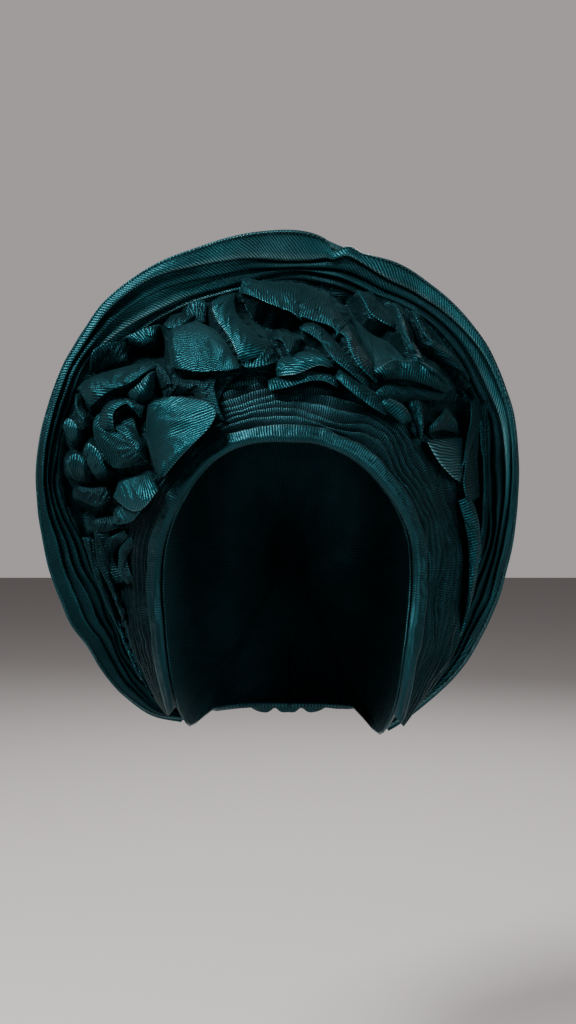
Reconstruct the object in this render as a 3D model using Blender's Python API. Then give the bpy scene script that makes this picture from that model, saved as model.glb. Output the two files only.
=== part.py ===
"""Tied gele head tie of pleated teal satin.

Lengths are metres, +Z is up and the front faces -Y. The origin is the inside top of the crown.
Every section is drawn in a half plane that ends on the face axis, which runs along Y at FACE_Z.
A place in it has a radius from that axis and a depth along Y, and the half plane's turn, in
degrees, is 0 straight up and positive towards +X.
"""
import bmesh
import bpy
import numpy as np

# Head hollow that the cloth is wrapped on
HEAD_HALF_WIDTH = 0.072
HEAD_ABOVE = 0.095
HEAD_BELOW = 0.110
HEAD_HALF_DEPTH = 0.097
HEAD_MIDDLE_DEPTH = 0.005
HEAD_SQUARE_ABOVE = 2.3
HEAD_SQUARE_BELOW = 3.0
HEAD_SQUARE_DEPTH = 2.5
FACE_Z = -HEAD_ABOVE

# Cloth and the room between pieces
CLOTH = 0.0020
GAP = 0.0003
LAYER_GAP = 2 * GAP
BROW_OFFSET = CLOTH + LAYER_GAP

# Crown cap
CAP_FRONT_SETBACK = 0.004
CAP_BOTTOM = 0.090
CAP_END_TURN = 7.0

# Pleated brow
BAND_WIDTH = 0.008
BAND_LIFT = 0.0016
BROW_STACK = 0.024
BROW_RISE = 0.032
BROW_PLEATS = 9
BROW_PLEAT_LIFT = 0.0018
BROW_PLEAT_COVER = 0.97
BROW_PLEAT_CREST = 0.6
BROW_BULGE = 0.002

# Fan round the crown
FAN_REACH = 0.093
FAN_RIM_DEPTH = -0.012
FAN_END_SWEEP = 0.032
FAN_PLEAT_ZONE = 0.026
FAN_PLEAT_RISE = 0.012
FAN_PLEAT_LIFT = 0.0026
FAN_FOOT_DEPTH = 0.016
FAN_BACK_FOOT_DEPTH = 0.046
FAN_FOOT_SWEEP = 0.009
FAN_BACK_GATHERS = 24
FAN_BACK_GATHER_LIFT = 0.0030
FAN_BACK_SWELL = 0.0033

# Ruffles in the trough between the brow and the fan
# The ruffles' wall is measured along Y, and square to a fold's steep side it is about half
RUFFLE_WALL = 0.0024
RUFFLE_CLEARANCE = 0.0012
RUFFLE_HEIGHT = 0.026
RUFFLE_DIP = 0.006
FOLD_WIDTH = 0.010
RUFFLE_SIDE_GAP = 0.0006

# Tie at the nape, with its depths given back from the middle of the hollow
TIE_TURN = 17.0
TIE_FRONT = HEAD_HALF_DEPTH - 0.028
TIE_BACK = HEAD_HALF_DEPTH - 0.009
TIE_THICKNESS = 0.008

# Stations and rows of the grids
BROW_STATIONS = 39
FAN_STATIONS = 48
FAN_BACK_STATIONS = 97
CAP_STATIONS = 34
CAP_END_STATIONS = 9
CAP_ROWS = 8

RING_COLUMNS = ("turn", "open", "stack", "rise", "reach", "sweep",
                "first", "second", "third", "fourth", "lap", "dip")
RINGS = np.array([
    # turn  open  stack  rise  reach  sweep  first  second  third  fourth  lap  dip
    (-146, 0.985, 0.05, 0.25, 0.06, 0.95, 0.01, 0.02, 0.03, 0.04, 0.00, 0.0),
    (-138, 0.930, 0.22, 0.70, 0.22, 0.75, 0.06, 0.12, 0.19, 0.26, 0.00, 0.1),
    (-128, 0.905, 0.40, 0.90, 0.35, 0.55, 0.13, 0.25, 0.37, 0.48, 0.00, 0.5),
    (-115, 0.900, 0.56, 1.00, 0.46, 0.25, 0.20, 0.36, 0.50, 0.63, 0.00, 0.9),
    (-100, 0.915, 0.66, 1.00, 0.59, 0.00, 0.28, 0.48, 0.64, 0.80, 0.00, 1.0),
    (-86, 0.900, 0.68, 1.00, 0.70, 0.00, 0.26, 0.44, 0.60, 0.78, 0.02, 0.7),
    (-75, 0.870, 0.67, 0.97, 0.77, 0.00, 0.12, 0.26, 0.40, 0.55, 0.05, 0.2),
    (-66, 0.840, 0.64, 0.93, 0.83, 0.00, 0.10, 0.20, 0.33, 0.45, 0.18, 0.0),
    (-55, 0.795, 0.60, 0.88, 0.89, 0.00, 0.12, 0.24, 0.36, 0.50, 0.30, 0.0),
    (-38, 0.750, 0.48, 0.80, 0.97, 0.00, 0.14, 0.32, 0.52, 0.80, 0.36, 0.0),
    (-27, 0.722, 0.43, 0.78, 0.99, 0.00, 0.20, 0.48, 0.80, 0.98, 0.36, 0.0),
    (-17, 0.700, 0.38, 0.78, 0.98, 0.00, 0.34, 0.62, 0.90, 1.05, 0.06, 0.0),
    (-5, 0.680, 0.34, 0.78, 1.00, 0.00, 0.48, 0.68, 0.88, 1.05, 0.06, 0.0),
    (4, 0.677, 0.36, 0.78, 0.99, 0.00, 0.44, 0.62, 0.80, 0.98, 0.06, 0.0),
    (10, 0.682, 0.44, 0.78, 0.935, 0.00, 0.14, 0.40, 0.62, 0.82, 0.08, 0.0),
    (20, 0.688, 0.53, 0.78, 0.93, 0.00, 0.32, 0.52, 0.68, 0.80, 0.10, 0.0),
    (32, 0.710, 0.62, 0.80, 0.91, 0.00, 0.26, 0.42, 0.54, 0.68, 0.14, 0.0),
    (46, 0.750, 0.75, 0.85, 0.85, 0.00, 0.10, 0.34, 0.54, 0.72, 0.08, 0.0),
    (60, 0.809, 0.84, 0.92, 0.75, 0.00, 0.09, 0.26, 0.50, 0.70, 0.03, 0.5),
    (75, 0.868, 0.93, 1.00, 0.63, 0.00, 0.10, 0.22, 0.38, 0.56, 0.00, 1.0),
    (90, 0.885, 0.96, 1.00, 0.54, 0.00, 0.10, 0.22, 0.36, 0.50, 0.00, 1.0),
    (104, 0.880, 0.92, 1.00, 0.46, 0.05, 0.10, 0.22, 0.34, 0.44, 0.00, 0.8),
    (118, 0.862, 0.74, 1.00, 0.37, 0.30, 0.09, 0.18, 0.28, 0.36, 0.00, 0.3),
    (130, 0.862, 0.42, 0.90, 0.25, 0.55, 0.06, 0.13, 0.20, 0.26, 0.00, 0.0),
    (140, 0.900, 0.16, 0.65, 0.14, 0.75, 0.04, 0.09, 0.14, 0.19, 0.00, 0.0),
    (149, 0.955, 0.04, 0.30, 0.06, 0.95, 0.01, 0.02, 0.03, 0.04, 0.00, 0.0),
])
LEFT_END = RINGS[0, 0]
RIGHT_END = RINGS[-1, 0]

# Pieces of the ruffled cloth: the turn of each end, at the brow and at the fan
RUFFLES = {
    "gather_left": (-134, -134, -76, -76),
    "rosette": (-76, -76, -24, -33),
    "ruffle_top": (-24, -33, 33, 33),
    "ruffle_right": (33, 33, 122, 122),
}
# Columns along each piece and rows across it
RUFFLE_GRIDS = {
    "gather_left": (16, 7),
    "rosette": (22, 14),
    "ruffle_top": (23, 13),
    "ruffle_right": (25, 10),
}

# Folds of the ruffles: three places on the fold's ridge, as turn and as share of the trough from
# brow to fan, then its half width in FOLD_WIDTH and its height in RUFFLE_HEIGHT
FOLDS = (
    # turn  across  turn  across  turn  across  width  height
    (-47, 0.16, -37, -0.06, -26, -0.24, 1.55, 0.62),
    (-61, 0.42, -56, 0.98, -41, 0.58, 0.80, 0.72),
    (-46, 0.66, -55, 0.52, -50, 0.22, 0.65, 0.86),
    (-43, 0.38, -39, 0.46, -35, 0.52, 0.80, 0.70),
    (-58, 0.82, -60, 0.68, -64, 0.44, 0.50, 0.62),
    (-65, 0.92, -67, 0.80, -69, 0.52, 0.70, 0.50),
    (-68, 0.26, -61, 0.10, -55, -0.10, 1.30, 0.60),
    (-74, 0.70, -72, 0.30, -64, -0.06, 0.55, 0.34),
    (-52, 0.90, -48, 0.94, -42, 0.86, 0.60, 0.36),
    (-31, 0.62, -22, 0.56, -12, 0.30, 1.45, 0.78),
    (-25, 0.86, -20, 0.94, -15, 0.88, 0.95, 0.52),
    (-12, 0.90, -16, 0.60, -6, 0.20, 0.50, 0.86),
    (-9, 0.88, 5, 0.92, 13, 0.24, 0.85, 0.64),
    (-4, 0.34, 0, 0.36, 4, 0.34, 0.60, 0.60),
    (-8, 0.10, 2, 0.14, 11, 0.13, 0.50, 0.36),
    (15, 0.92, 19, 0.72, 26, 0.72, 0.60, 0.66),
    (22, 0.96, 27, 0.42, 42, 0.70, 0.65, 0.90),
    (27, 0.96, 31, 0.74, 44, 0.92, 0.70, 0.74),
    (22, 0.16, 26, 0.30, 31, 0.42, 0.50, 0.46),
    (25, -0.02, 30, 0.02, 35, 0.06, 0.60, 0.34),
    (41, 0.18, 45, 0.28, 50, 0.50, 0.95, 0.46),
    (49, 0.14, 56, 0.36, 63, 0.28, 1.00, 0.24),
    (58, 0.66, 80, 0.80, 116, 0.60, 0.55, 0.42),
    (-78, 0.56, -92, 0.86, -108, 0.30, 0.45, 0.34),
    (-86, 0.84, -104, 0.92, -126, 0.56, 0.50, 0.28),
    (-80, 0.14, -88, 0.34, -98, 0.12, 0.40, 0.30),
)


def ring(name, turn):
    """Read one column of RINGS at any turns, along a smooth curve through its rows."""
    turns = RINGS[:, 0]
    values = RINGS[:, RING_COLUMNS.index(name)]
    slopes = np.gradient(values, turns)
    turn = np.clip(turn, LEFT_END, RIGHT_END)
    row = np.clip(np.searchsorted(turns, turn, side="right") - 1, 0, len(turns) - 2)
    step = turns[row + 1] - turns[row]
    u = (turn - turns[row]) / step
    leaving = (1 + 2 * u) * (1 - u) ** 2 * values[row] + u * (1 - u) ** 2 * step * slopes[row]
    reaching = u * u * (3 - 2 * u) * values[row + 1] - u * u * (1 - u) * step * slopes[row + 1]
    return leaving + reaching


def place(turn, radius, depth):
    """Points of a section as X, Y and Z."""
    angle = np.radians(turn)
    return np.stack(np.broadcast_arrays(radius * np.sin(angle), depth,
                                        FACE_Z + radius * np.cos(angle)), axis=-1)


def head_radius(turn):
    """Radius of the hollow at its widest depth, a rounded square that is longer below."""
    angle = np.radians(turn)
    up = np.cos(angle)
    below = np.clip(-2 * up, 0, 1)
    power = HEAD_SQUARE_ABOVE + (HEAD_SQUARE_BELOW - HEAD_SQUARE_ABOVE) * below
    wide = np.abs(np.sin(angle)) / HEAD_HALF_WIDTH
    tall = np.abs(up) / np.where(up >= 0, HEAD_ABOVE, HEAD_BELOW)
    return (wide ** power + tall ** power) ** (-1 / power)


def layer_radius(turn, depth, offset):
    """Radius at a depth of the surface that lies an offset outside the hollow."""
    share = np.clip((depth - HEAD_MIDDLE_DEPTH) / (HEAD_HALF_DEPTH + offset), -1, 1)
    fullness = (1 - np.abs(share) ** HEAD_SQUARE_DEPTH) ** (1 / HEAD_SQUARE_DEPTH)
    return (head_radius(turn) + offset) * fullness


def opening(turn):
    """Radius and depth of the edge of the face opening, on the first layer over the cap."""
    share = ring("open", turn)
    back = (1 - share ** HEAD_SQUARE_DEPTH) ** (1 / HEAD_SQUARE_DEPTH)
    return (share * (head_radius(turn) + BROW_OFFSET),
            HEAD_MIDDLE_DEPTH - (HEAD_HALF_DEPTH + BROW_OFFSET) * back)


def brow_edge(turn):
    """Radius and depth of the outer edge of the brow's stack of pleats."""
    depth = opening(turn)[1] + BROW_RISE * ring("rise", turn)
    return head_radius(turn) + BROW_OFFSET + BROW_STACK * ring("stack", turn), depth


def rim(turn):
    """Radius and depth of the fan's rim."""
    return (head_radius(turn) + FAN_REACH * ring("reach", turn),
            FAN_RIM_DEPTH + FAN_END_SWEEP * ring("sweep", turn))


def fan_fold(turn, name):
    """Radius and depth of a fold's edge on the front of the fan."""
    radius, depth = rim(turn)
    share = ring(name, turn)
    return radius - FAN_PLEAT_ZONE * share, depth + FAN_PLEAT_RISE * share


def fan_foot(turn, depth):
    """Radius and depth where a wall of the fan meets the crown cap."""
    depth = depth + FAN_FOOT_SWEEP * ring("sweep", turn)
    return layer_radius(turn, depth, BROW_OFFSET), depth


def line_normal(start, end):
    """Unit direction in the section, square to the line from start to end, to its front."""
    along_radius = end[0] - start[0]
    along_depth = end[1] - start[1]
    length = np.hypot(along_radius, along_depth)
    return along_depth / length, -along_radius / length


def satin(name, colour, roughness):
    """Teal satin of one of the cloth's layers."""
    material = bpy.data.materials.new(name)
    material.use_nodes = True
    shader = material.node_tree.nodes["Principled BSDF"]
    shader.inputs["Base Color"].default_value = (*colour, 1)
    shader.inputs["Roughness"].default_value = roughness
    shader.inputs["Metallic"].default_value = 0
    return material


def add_piece(name, points, faces, material):
    """Make one closed object with its faces pointing out."""
    mesh = bpy.data.meshes.new(name)
    mesh.from_pydata(points.tolist(), [], faces)
    cleaner = bmesh.new()
    cleaner.from_mesh(mesh)
    bmesh.ops.recalc_face_normals(cleaner, faces=cleaner.faces)
    if cleaner.calc_volume(signed=True) < 0:
        bmesh.ops.reverse_faces(cleaner, faces=cleaner.faces)
    cleaner.to_mesh(mesh)
    cleaner.free()
    mesh.shade_smooth()
    mesh.set_sharp_from_angle(angle=np.radians(40))
    mesh.materials.append(material)
    bpy.context.collection.objects.link(bpy.data.objects.new(name, mesh))


def halves(points, quad):
    """The two triangles of a four-cornered face, cut along its shorter diagonal."""
    a, b, c, d = quad
    if np.linalg.norm(points[a] - points[c]) <= np.linalg.norm(points[b] - points[d]):
        return (a, b, c), (a, c, d)
    return (a, b, d), (b, c, d)


def swept_piece(name, turns, outline, material):
    """Carry a closed outline, a list of (radius, depth) arrays, along the turns."""
    rows = [place(turns, radius, depth) for radius, depth in outline]
    points = np.stack(rows, axis=1).reshape(-1, 3)
    count = len(outline)
    last = (len(turns) - 1) * count
    faces = [list(range(count)), list(range(last, last + count))]
    for start in range(0, last, count):
        for i in range(count):
            after = (i + 1) % count
            quad = (start + i, start + after, start + after + count, start + i + count)
            faces.extend(halves(points, quad))
    add_piece(name, points, faces, material)


def sheet_piece(name, front, back, material):
    """Close the room between two grids of points with a wall round their edge."""
    rows, columns = front.shape[:2]
    shift = rows * columns
    faces = []
    for i in range(rows - 1):
        for j in range(columns - 1):
            a = i * columns + j
            b = a + columns
            for face in ((a, a + 1, b + 1), (a, b + 1, b)):
                faces.append(face)
                faces.append(tuple(corner + shift for corner in reversed(face)))
    edge = [(0, j) for j in range(columns)]
    edge += [(i, columns - 1) for i in range(1, rows)]
    edge += [(rows - 1, j) for j in range(columns - 2, -1, -1)]
    edge += [(i, 0) for i in range(rows - 2, 0, -1)]
    loop = [i * columns + j for i, j in edge]
    for a, b in zip(loop, loop[1:] + loop[:1]):
        faces.append((b, a, a + shift, b + shift))
    points = np.concatenate([front.reshape(-1, 3), back.reshape(-1, 3)])
    add_piece(name, points, faces, material)


def cap_edge_depth(turn):
    """Depth of the cap's edge: behind the brow's edge, and level round the nape below."""
    front = opening(turn)[1] + CAP_FRONT_SETBACK
    level = CAP_BOTTOM / np.maximum(-np.cos(np.radians(turn)), 0.5) / head_radius(turn)
    back = (1 - np.minimum(level, 1) ** HEAD_SQUARE_DEPTH) ** (1 / HEAD_SQUARE_DEPTH)
    below = np.where(turn > 0, turn - RIGHT_END, LEFT_END - turn) / CAP_END_TURN
    below = np.clip(below, 0, 1)
    nape = HEAD_MIDDLE_DEPTH + HEAD_HALF_DEPTH * back
    return front + (nape - front) * below * below * (3 - 2 * below)


def make_crown_cap(material):
    """Cap over the crown and the back of the head, one layer thick."""
    lower = 180 - RIGHT_END
    turns = np.concatenate([
        np.linspace(LEFT_END, RIGHT_END, CAP_STATIONS),
        RIGHT_END + lower * np.linspace(0, 1, CAP_END_STATIONS)[1:] ** 1.4,
        LEFT_END - (180 + LEFT_END) * np.linspace(1, 0, CAP_END_STATIONS)[1:-1] ** 1.4,
    ])
    count = len(turns)
    bend = np.sin(np.linspace(0, 1, CAP_ROWS + 1)[:-1] * np.pi / 2)
    layers = []
    for offset in (0, CLOTH):
        pole = HEAD_MIDDLE_DEPTH + HEAD_HALF_DEPTH + offset
        edge = cap_edge_depth(turns)
        depth = edge[:, None] + (pole - edge[:, None]) * bend
        layers.append(place(turns[:, None], layer_radius(turns[:, None], depth, offset), depth))
        layers.append(np.array([[0, pole, FACE_Z]]))
    points = np.concatenate([layer.reshape(-1, 3) for layer in layers])
    pole = count * CAP_ROWS
    shift = pole + 1
    faces = []
    for i in range(count):
        a = i * CAP_ROWS
        b = (i + 1) % count * CAP_ROWS
        ring_faces = [(a + CAP_ROWS - 1, pole, b + CAP_ROWS - 1)]
        for j in range(CAP_ROWS - 1):
            ring_faces.extend(halves(points, (a + j, a + j + 1, b + j + 1, b + j)))
        for face in ring_faces:
            faces.append(face)
            faces.append(tuple(corner + shift for corner in reversed(face)))
        faces.append((a, b, b + shift, a + shift))
    add_piece("crown_cap", points, faces, material)


def brow_place(turn, share, lift):
    """Place at a share of the way up the brow, lifted off its base line to the front."""
    start = opening(turn)
    end = brow_edge(turn)
    normal = line_normal(start, end)
    height = lift + BROW_BULGE * ring("rise", turn) * np.sin(share * np.pi)
    return (start[0] + (end[0] - start[0]) * share + normal[0] * height,
            start[1] + (end[1] - start[1]) * share + normal[1] * height)


def brow_underside(turn, share):
    """Place on the brow's back, a cloth's thickness down but never inside the cap."""
    radius, depth = brow_place(turn, share, -CLOTH * np.minimum(1, 3 * share))
    return np.maximum(radius, layer_radius(turn, depth, BROW_OFFSET)), depth


def brow_length(turn):
    """Length of the brow's base line."""
    start = opening(turn)
    end = brow_edge(turn)
    return np.hypot(end[0] - start[0], end[1] - start[1])


def band_share(turn):
    """Share of the brow that its first wide fold takes."""
    return np.minimum(BAND_WIDTH / brow_length(turn), 0.35)


def make_brow_band(material):
    """Wide folded edge next to the face, rounded at the opening."""
    turns = np.linspace(LEFT_END, RIGHT_END, BROW_STATIONS)
    end = band_share(turns)
    thick = CLOTH + BAND_LIFT
    front = [(0.00, 0.40), (0.10, 0.85), (0.40, 1.00), (0.85, 1.00), (1.00, 0.75)]
    outline = [brow_place(turns, end * share, thick * height) for share, height in front]
    outline += [brow_place(turns, end * share, 0.0) for share in (1.00, 0.50, 0.10)]
    kept = []
    for radius, depth in outline:
        kept.append((np.maximum(radius, layer_radius(turns, depth, BROW_OFFSET)), depth))
    swept_piece("brow_band", turns, kept, material)


def make_brow_pleats(material):
    """Stack of narrow pleats above the band, each one's free edge to the outside."""
    turns = np.linspace(LEFT_END, RIGHT_END, BROW_STATIONS)
    start = band_share(turns) + GAP / brow_length(turns)
    lift = BROW_PLEAT_LIFT * np.minimum(1, 0.35 + ring("stack", turns))
    outline = []
    for pleat in range(BROW_PLEATS):
        inner = start + (1 - start) * pleat / BROW_PLEATS
        outer = start + (1 - start) * (pleat + BROW_PLEAT_COVER) / BROW_PLEATS
        crest = inner + (outer - inner) * BROW_PLEAT_CREST
        outline.append(brow_place(turns, inner, 0.15 * lift))
        outline.append(brow_place(turns, crest, 0.95 * lift))
        outline.append(brow_place(turns, outer, lift))
    for share in (1.0, 0.66, 0.33, 0.0):
        outline.append(brow_underside(turns, start + (1 - start) * share))
    swept_piece("brow_pleats", turns, outline, material)


def fan_front(turn, spot, lift):
    """Place lifted off the fan's front wall, square to its line from foot to rim."""
    normal = line_normal(fan_foot(turn, FAN_FOOT_DEPTH), rim(turn))
    return spot[0] + normal[0] * lift, spot[1] + normal[1] * lift


def fan_lift(turn):
    """Height of a fold on the front of the fan, less where the fan is narrow."""
    return FAN_PLEAT_LIFT * np.minimum(1, 0.1 + 1.8 * ring("reach", turn))


def make_fan_pleats(material):
    """Front wall of the fan, with folds near the rim whose free edges face the head."""
    turns = np.linspace(LEFT_END, RIGHT_END, FAN_STATIONS)
    foot = fan_foot(turns, FAN_FOOT_DEPTH)
    edge = rim(turns)
    lift = fan_lift(turns)
    names = ("fourth", "third", "second", "first")
    folds = [fan_fold(turns, name) for name in names] + [edge]
    heights = [(foot, 0.0), (folds[0], 0.0)]
    for here, beyond in zip(folds, folds[1:]):
        middle = ((here[0] + beyond[0]) / 2, (here[1] + beyond[1]) / 2)
        heights += [(here, lift), (middle, lift * 0.9), (beyond, lift * 0.12)]
    heights[-1] = (edge, lift * 0.5)
    heights += [(edge, -CLOTH), (folds[0], -CLOTH), (foot, -CLOTH)]
    outline = [fan_front(turns, spot, height) for spot, height in heights]
    swept_piece("fan_pleats", turns, outline, material)


def make_fan_back(material):
    """Back of the fan, gathered from the rim down to the crown."""
    turns = np.linspace(LEFT_END, RIGHT_END, FAN_BACK_STATIONS)[:, None]
    share = np.array([0, 0.2, 0.6, 1.0])[None, :]
    start = fan_front(turns, rim(turns), -CLOTH - GAP)
    end = fan_foot(turns, FAN_BACK_FOOT_DEPTH)
    back = line_normal(end, start)
    swell = np.sin(share * np.pi)
    wave = np.cos(np.radians(turns) * FAN_BACK_GATHERS) * swell ** 0.7
    size = np.minimum(1, 0.15 + ring("reach", turns))
    lift = size * (FAN_BACK_GATHER_LIFT * wave + FAN_BACK_SWELL * swell)
    layers = []
    for height in (0.0, CLOTH):
        radius = start[0] + (end[0] - start[0]) * share - back[0] * (lift + height)
        depth = start[1] + (end[1] - start[1]) * share - back[1] * (lift + height)
        radius = np.maximum(radius, layer_radius(turns, depth, BROW_OFFSET + height))
        layers.append(place(turns, radius, depth))
    sheet_piece("fan_back", layers[0], layers[1], material)


def trough_place(turn, across):
    """Radius and depth on the line from the brow's edge to the fan's innermost fold.

    Inside the brow's edge the line runs over the front of the pleats.
    """
    clear = BROW_PLEAT_LIFT + RUFFLE_CLEARANCE
    start = brow_place(turn, 0.0, clear)
    inner = brow_place(turn, 1.0, clear)
    fold = fan_front(turn, fan_fold(turn, "fourth"), fan_lift(turn))
    outer = (fold[0] - LAYER_GAP, fold[1])
    slope = (inner[1] - start[1]) / (inner[0] - start[0])
    radius = inner[0] + (outer[0] - inner[0]) * across
    over_brow = inner[1] + (radius - inner[0]) * slope - BROW_BULGE * np.clip(-6 * across, 0, 1)
    to_fan = inner[1] + (outer[1] - inner[1]) * across
    return radius, np.where(across < 0, over_brow, to_fan)


def fold_height(turn, across):
    """Height of the ruffled cloth: at each place the highest of the folds' rounded ridges."""
    radius = trough_place(turn, across)[0]
    spot = place(turn, radius, 0.0)[..., ::2]
    height = np.zeros(radius.shape)
    along = np.linspace(0, 1, 13)
    for row in FOLDS:
        turns = row[0] * (1 - along) ** 2 + row[2] * 2 * along * (1 - along) + row[4] * along ** 2
        sides = row[1] * (1 - along) ** 2 + row[3] * 2 * along * (1 - along) + row[5] * along ** 2
        ridge = place(turns, trough_place(turns, sides)[0], 0.0)[..., ::2]
        away = np.linalg.norm(spot[..., None, :] - ridge, axis=-1).min(axis=-1)
        share = np.clip(away / (row[6] * FOLD_WIDTH), 0, 1)
        height = np.maximum(height, row[7] * RUFFLE_HEIGHT * (1 - share ** 2) ** 0.75)
    return height


def make_ruffle(name, material):
    """One piece of the ruffled cloth, a thin sheet crumpled into the trough."""
    left_brow, left_fan, right_brow, right_fan = RUFFLES[name]
    columns, rows = RUFFLE_GRIDS[name]
    along = np.linspace(0, 1, columns)[:, None]
    share = np.linspace(0, 1, rows)[None, :]
    lean = np.clip(share * 1.4 - 0.2, 0, 1)
    left = left_brow + (left_fan - left_brow) * lean
    right = right_brow + (right_fan - right_brow) * lean
    turn = left + (right - left) * along
    across = -ring("lap", turn) + (1 + ring("lap", turn)) * share
    radius = trough_place(turn, across)[0]
    side_gap = np.degrees(RUFFLE_SIDE_GAP / radius)
    turn = turn + side_gap * (1 - 2 * along)
    radius, depth = trough_place(turn, across)
    hem = np.sin(np.pi * np.clip(share, 0.02, 0.98)) ** 0.35
    height = fold_height(turn, across) * hem
    dip = RUFFLE_DIP * ring("dip", turn) * np.sin(np.pi * share)
    front = depth + dip - height
    sheet_piece(name, place(turn, radius, front - RUFFLE_WALL), place(turn, radius, front), material)


def make_nape_tie(material):
    """Flat knot of the cloth's ends, low on the back of the crown cap."""
    along = np.linspace(-1, 1, 13)[:, None]
    share = np.linspace(-1, 1, 7)[None, :]
    pinch = 0.62 + 0.38 * np.abs(along)
    middle = HEAD_MIDDLE_DEPTH + (TIE_FRONT + TIE_BACK) / 2
    depth = middle + (TIE_BACK - TIE_FRONT) / 2 * share * pinch
    turn = 180 + TIE_TURN * along + 0 * share
    swell = (1 - np.abs(along) ** 4) * (1 - share ** 4)
    knot = 1 - 0.5 * np.exp(-((np.abs(along) - 0.3) / 0.1) ** 2)
    height = CLOTH + (TIE_THICKNESS - CLOTH) * swell * knot
    inner = layer_radius(turn, depth, BROW_OFFSET)
    sheet_piece("nape_tie", place(turn, layer_radius(turn, depth, BROW_OFFSET + height), depth),
                place(turn, inner, depth), material)


for old in list(bpy.data.objects):
    bpy.data.objects.remove(old)

make_crown_cap(satin("crown satin", (0.010, 0.045, 0.055), 0.5))
make_brow_band(satin("band satin", (0.012, 0.050, 0.060), 0.4))
make_brow_pleats(satin("pleat satin", (0.009, 0.038, 0.048), 0.4))
make_fan_pleats(satin("fan satin", (0.013, 0.055, 0.065), 0.4))
make_fan_back(satin("fan back satin", (0.012, 0.050, 0.060), 0.45))
for ruffle in RUFFLES:
    make_ruffle(ruffle, satin(ruffle + " satin", (0.014, 0.062, 0.074), 0.38))
make_nape_tie(satin("tie satin", (0.010, 0.045, 0.055), 0.45))
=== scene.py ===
"""Looks of the tied gele head tie: teal satin, pleated round the face and fanned behind the crown.

Metres, +Z up, the front faces -Y. The head tie is held up as a head holds it, with its origin at
the inside top of the crown. A section is a half plane through the face axis, which runs along Y:
a place in it has a radius and a depth, and its turn in degrees is 0 straight up and grows to +X.
"""
import math

import bpy
import numpy as np
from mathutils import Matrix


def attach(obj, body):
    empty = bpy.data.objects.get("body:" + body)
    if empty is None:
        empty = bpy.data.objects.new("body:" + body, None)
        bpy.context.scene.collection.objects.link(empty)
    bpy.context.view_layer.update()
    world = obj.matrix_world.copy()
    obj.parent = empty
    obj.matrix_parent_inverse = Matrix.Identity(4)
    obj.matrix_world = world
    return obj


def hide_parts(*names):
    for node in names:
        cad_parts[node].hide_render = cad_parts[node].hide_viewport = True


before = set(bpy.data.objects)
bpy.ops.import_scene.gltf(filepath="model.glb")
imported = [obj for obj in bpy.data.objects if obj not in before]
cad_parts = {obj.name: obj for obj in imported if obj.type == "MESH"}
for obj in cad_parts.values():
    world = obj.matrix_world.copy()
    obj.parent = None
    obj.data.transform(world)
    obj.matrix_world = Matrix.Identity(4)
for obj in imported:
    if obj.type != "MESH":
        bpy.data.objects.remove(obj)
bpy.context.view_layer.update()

# Camera, floor and light
# A phone held level in front of the face, 0.71 m before the crown's middle, with a long side of
# 1240 pixels' focal length on 1024 pixels. A pale floor and soft lamps stand round it.
CAMERA_DISTANCE = 0.710
CAMERA_HEIGHT = -0.0645
FOCAL_PIXELS = 1240
LONG_SIDE_PIXELS = 1024
FLOOR_HEIGHT = -0.42

camera_data = bpy.data.cameras.new("camera")
camera_data.sensor_width = 36
camera_data.lens = camera_data.sensor_width * FOCAL_PIXELS / LONG_SIDE_PIXELS
camera_data.clip_start = 0.01
camera = bpy.data.objects.new("camera", camera_data)
camera.location = (0, -CAMERA_DISTANCE, CAMERA_HEIGHT)
camera.rotation_euler = (math.radians(90), 0, 0)
bpy.context.collection.objects.link(camera)
bpy.context.scene.camera = camera

bpy.ops.mesh.primitive_plane_add(size=12, location=(0, 0, FLOOR_HEIGHT))
floor = bpy.context.object
floor.name = "floor"
floor_paint = bpy.data.materials.new("floor paint")
floor_paint.use_nodes = True
floor_shader = floor_paint.node_tree.nodes["Principled BSDF"]
floor_shader.inputs["Base Color"].default_value = (0.50, 0.47, 0.46, 1)
floor_shader.inputs["Roughness"].default_value = 0.8
floor.data.materials.append(floor_paint)

# The room is pale behind the head tie and dim in front of it, where the satin looks
world = bpy.data.worlds.new("room")
world.use_nodes = True
room = world.node_tree
sky = room.nodes["Background"]
sky.inputs["Color"].default_value = (0.80, 0.74, 0.73, 1)
compass = room.nodes.new("ShaderNodeTexCoord")
direction = room.nodes.new("ShaderNodeSeparateXYZ")
ramp = room.nodes.new("ShaderNodeMapRange")
ramp.inputs["From Min"].default_value = -0.2
ramp.inputs["From Max"].default_value = 0.8
ramp.inputs["To Min"].default_value = 0.03
ramp.inputs["To Max"].default_value = 0.50
room.links.new(compass.outputs["Generated"], direction.inputs[0])
room.links.new(direction.outputs["Y"], ramp.inputs["Value"])
room.links.new(ramp.outputs[0], sky.inputs["Strength"])
bpy.context.scene.world = world


def soft_lamp(name, place, target, size, power):
    """Square area lamp at a place, turned to a target."""
    data = bpy.data.lights.new(name, "AREA")
    data.size = size
    data.energy = power
    lamp = bpy.data.objects.new(name, data)
    lamp.location = place
    away = np.subtract(target, place)
    flat = math.hypot(away[0], away[1])
    lamp.rotation_euler = (math.atan2(flat, -away[2]), 0, math.atan2(-away[0], away[1]))
    bpy.context.collection.objects.link(lamp)


CROWN = (0, -0.02, -0.05)
soft_lamp("key lamp", (-0.85, -0.60, 1.05), CROWN, 0.50, 50)
soft_lamp("fill lamp", (0.80, -0.95, 0.25), CROWN, 0.6, 10)
soft_lamp("back lamp", (0.3, 1.1, 0.8), CROWN, 0.8, 14)

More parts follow.
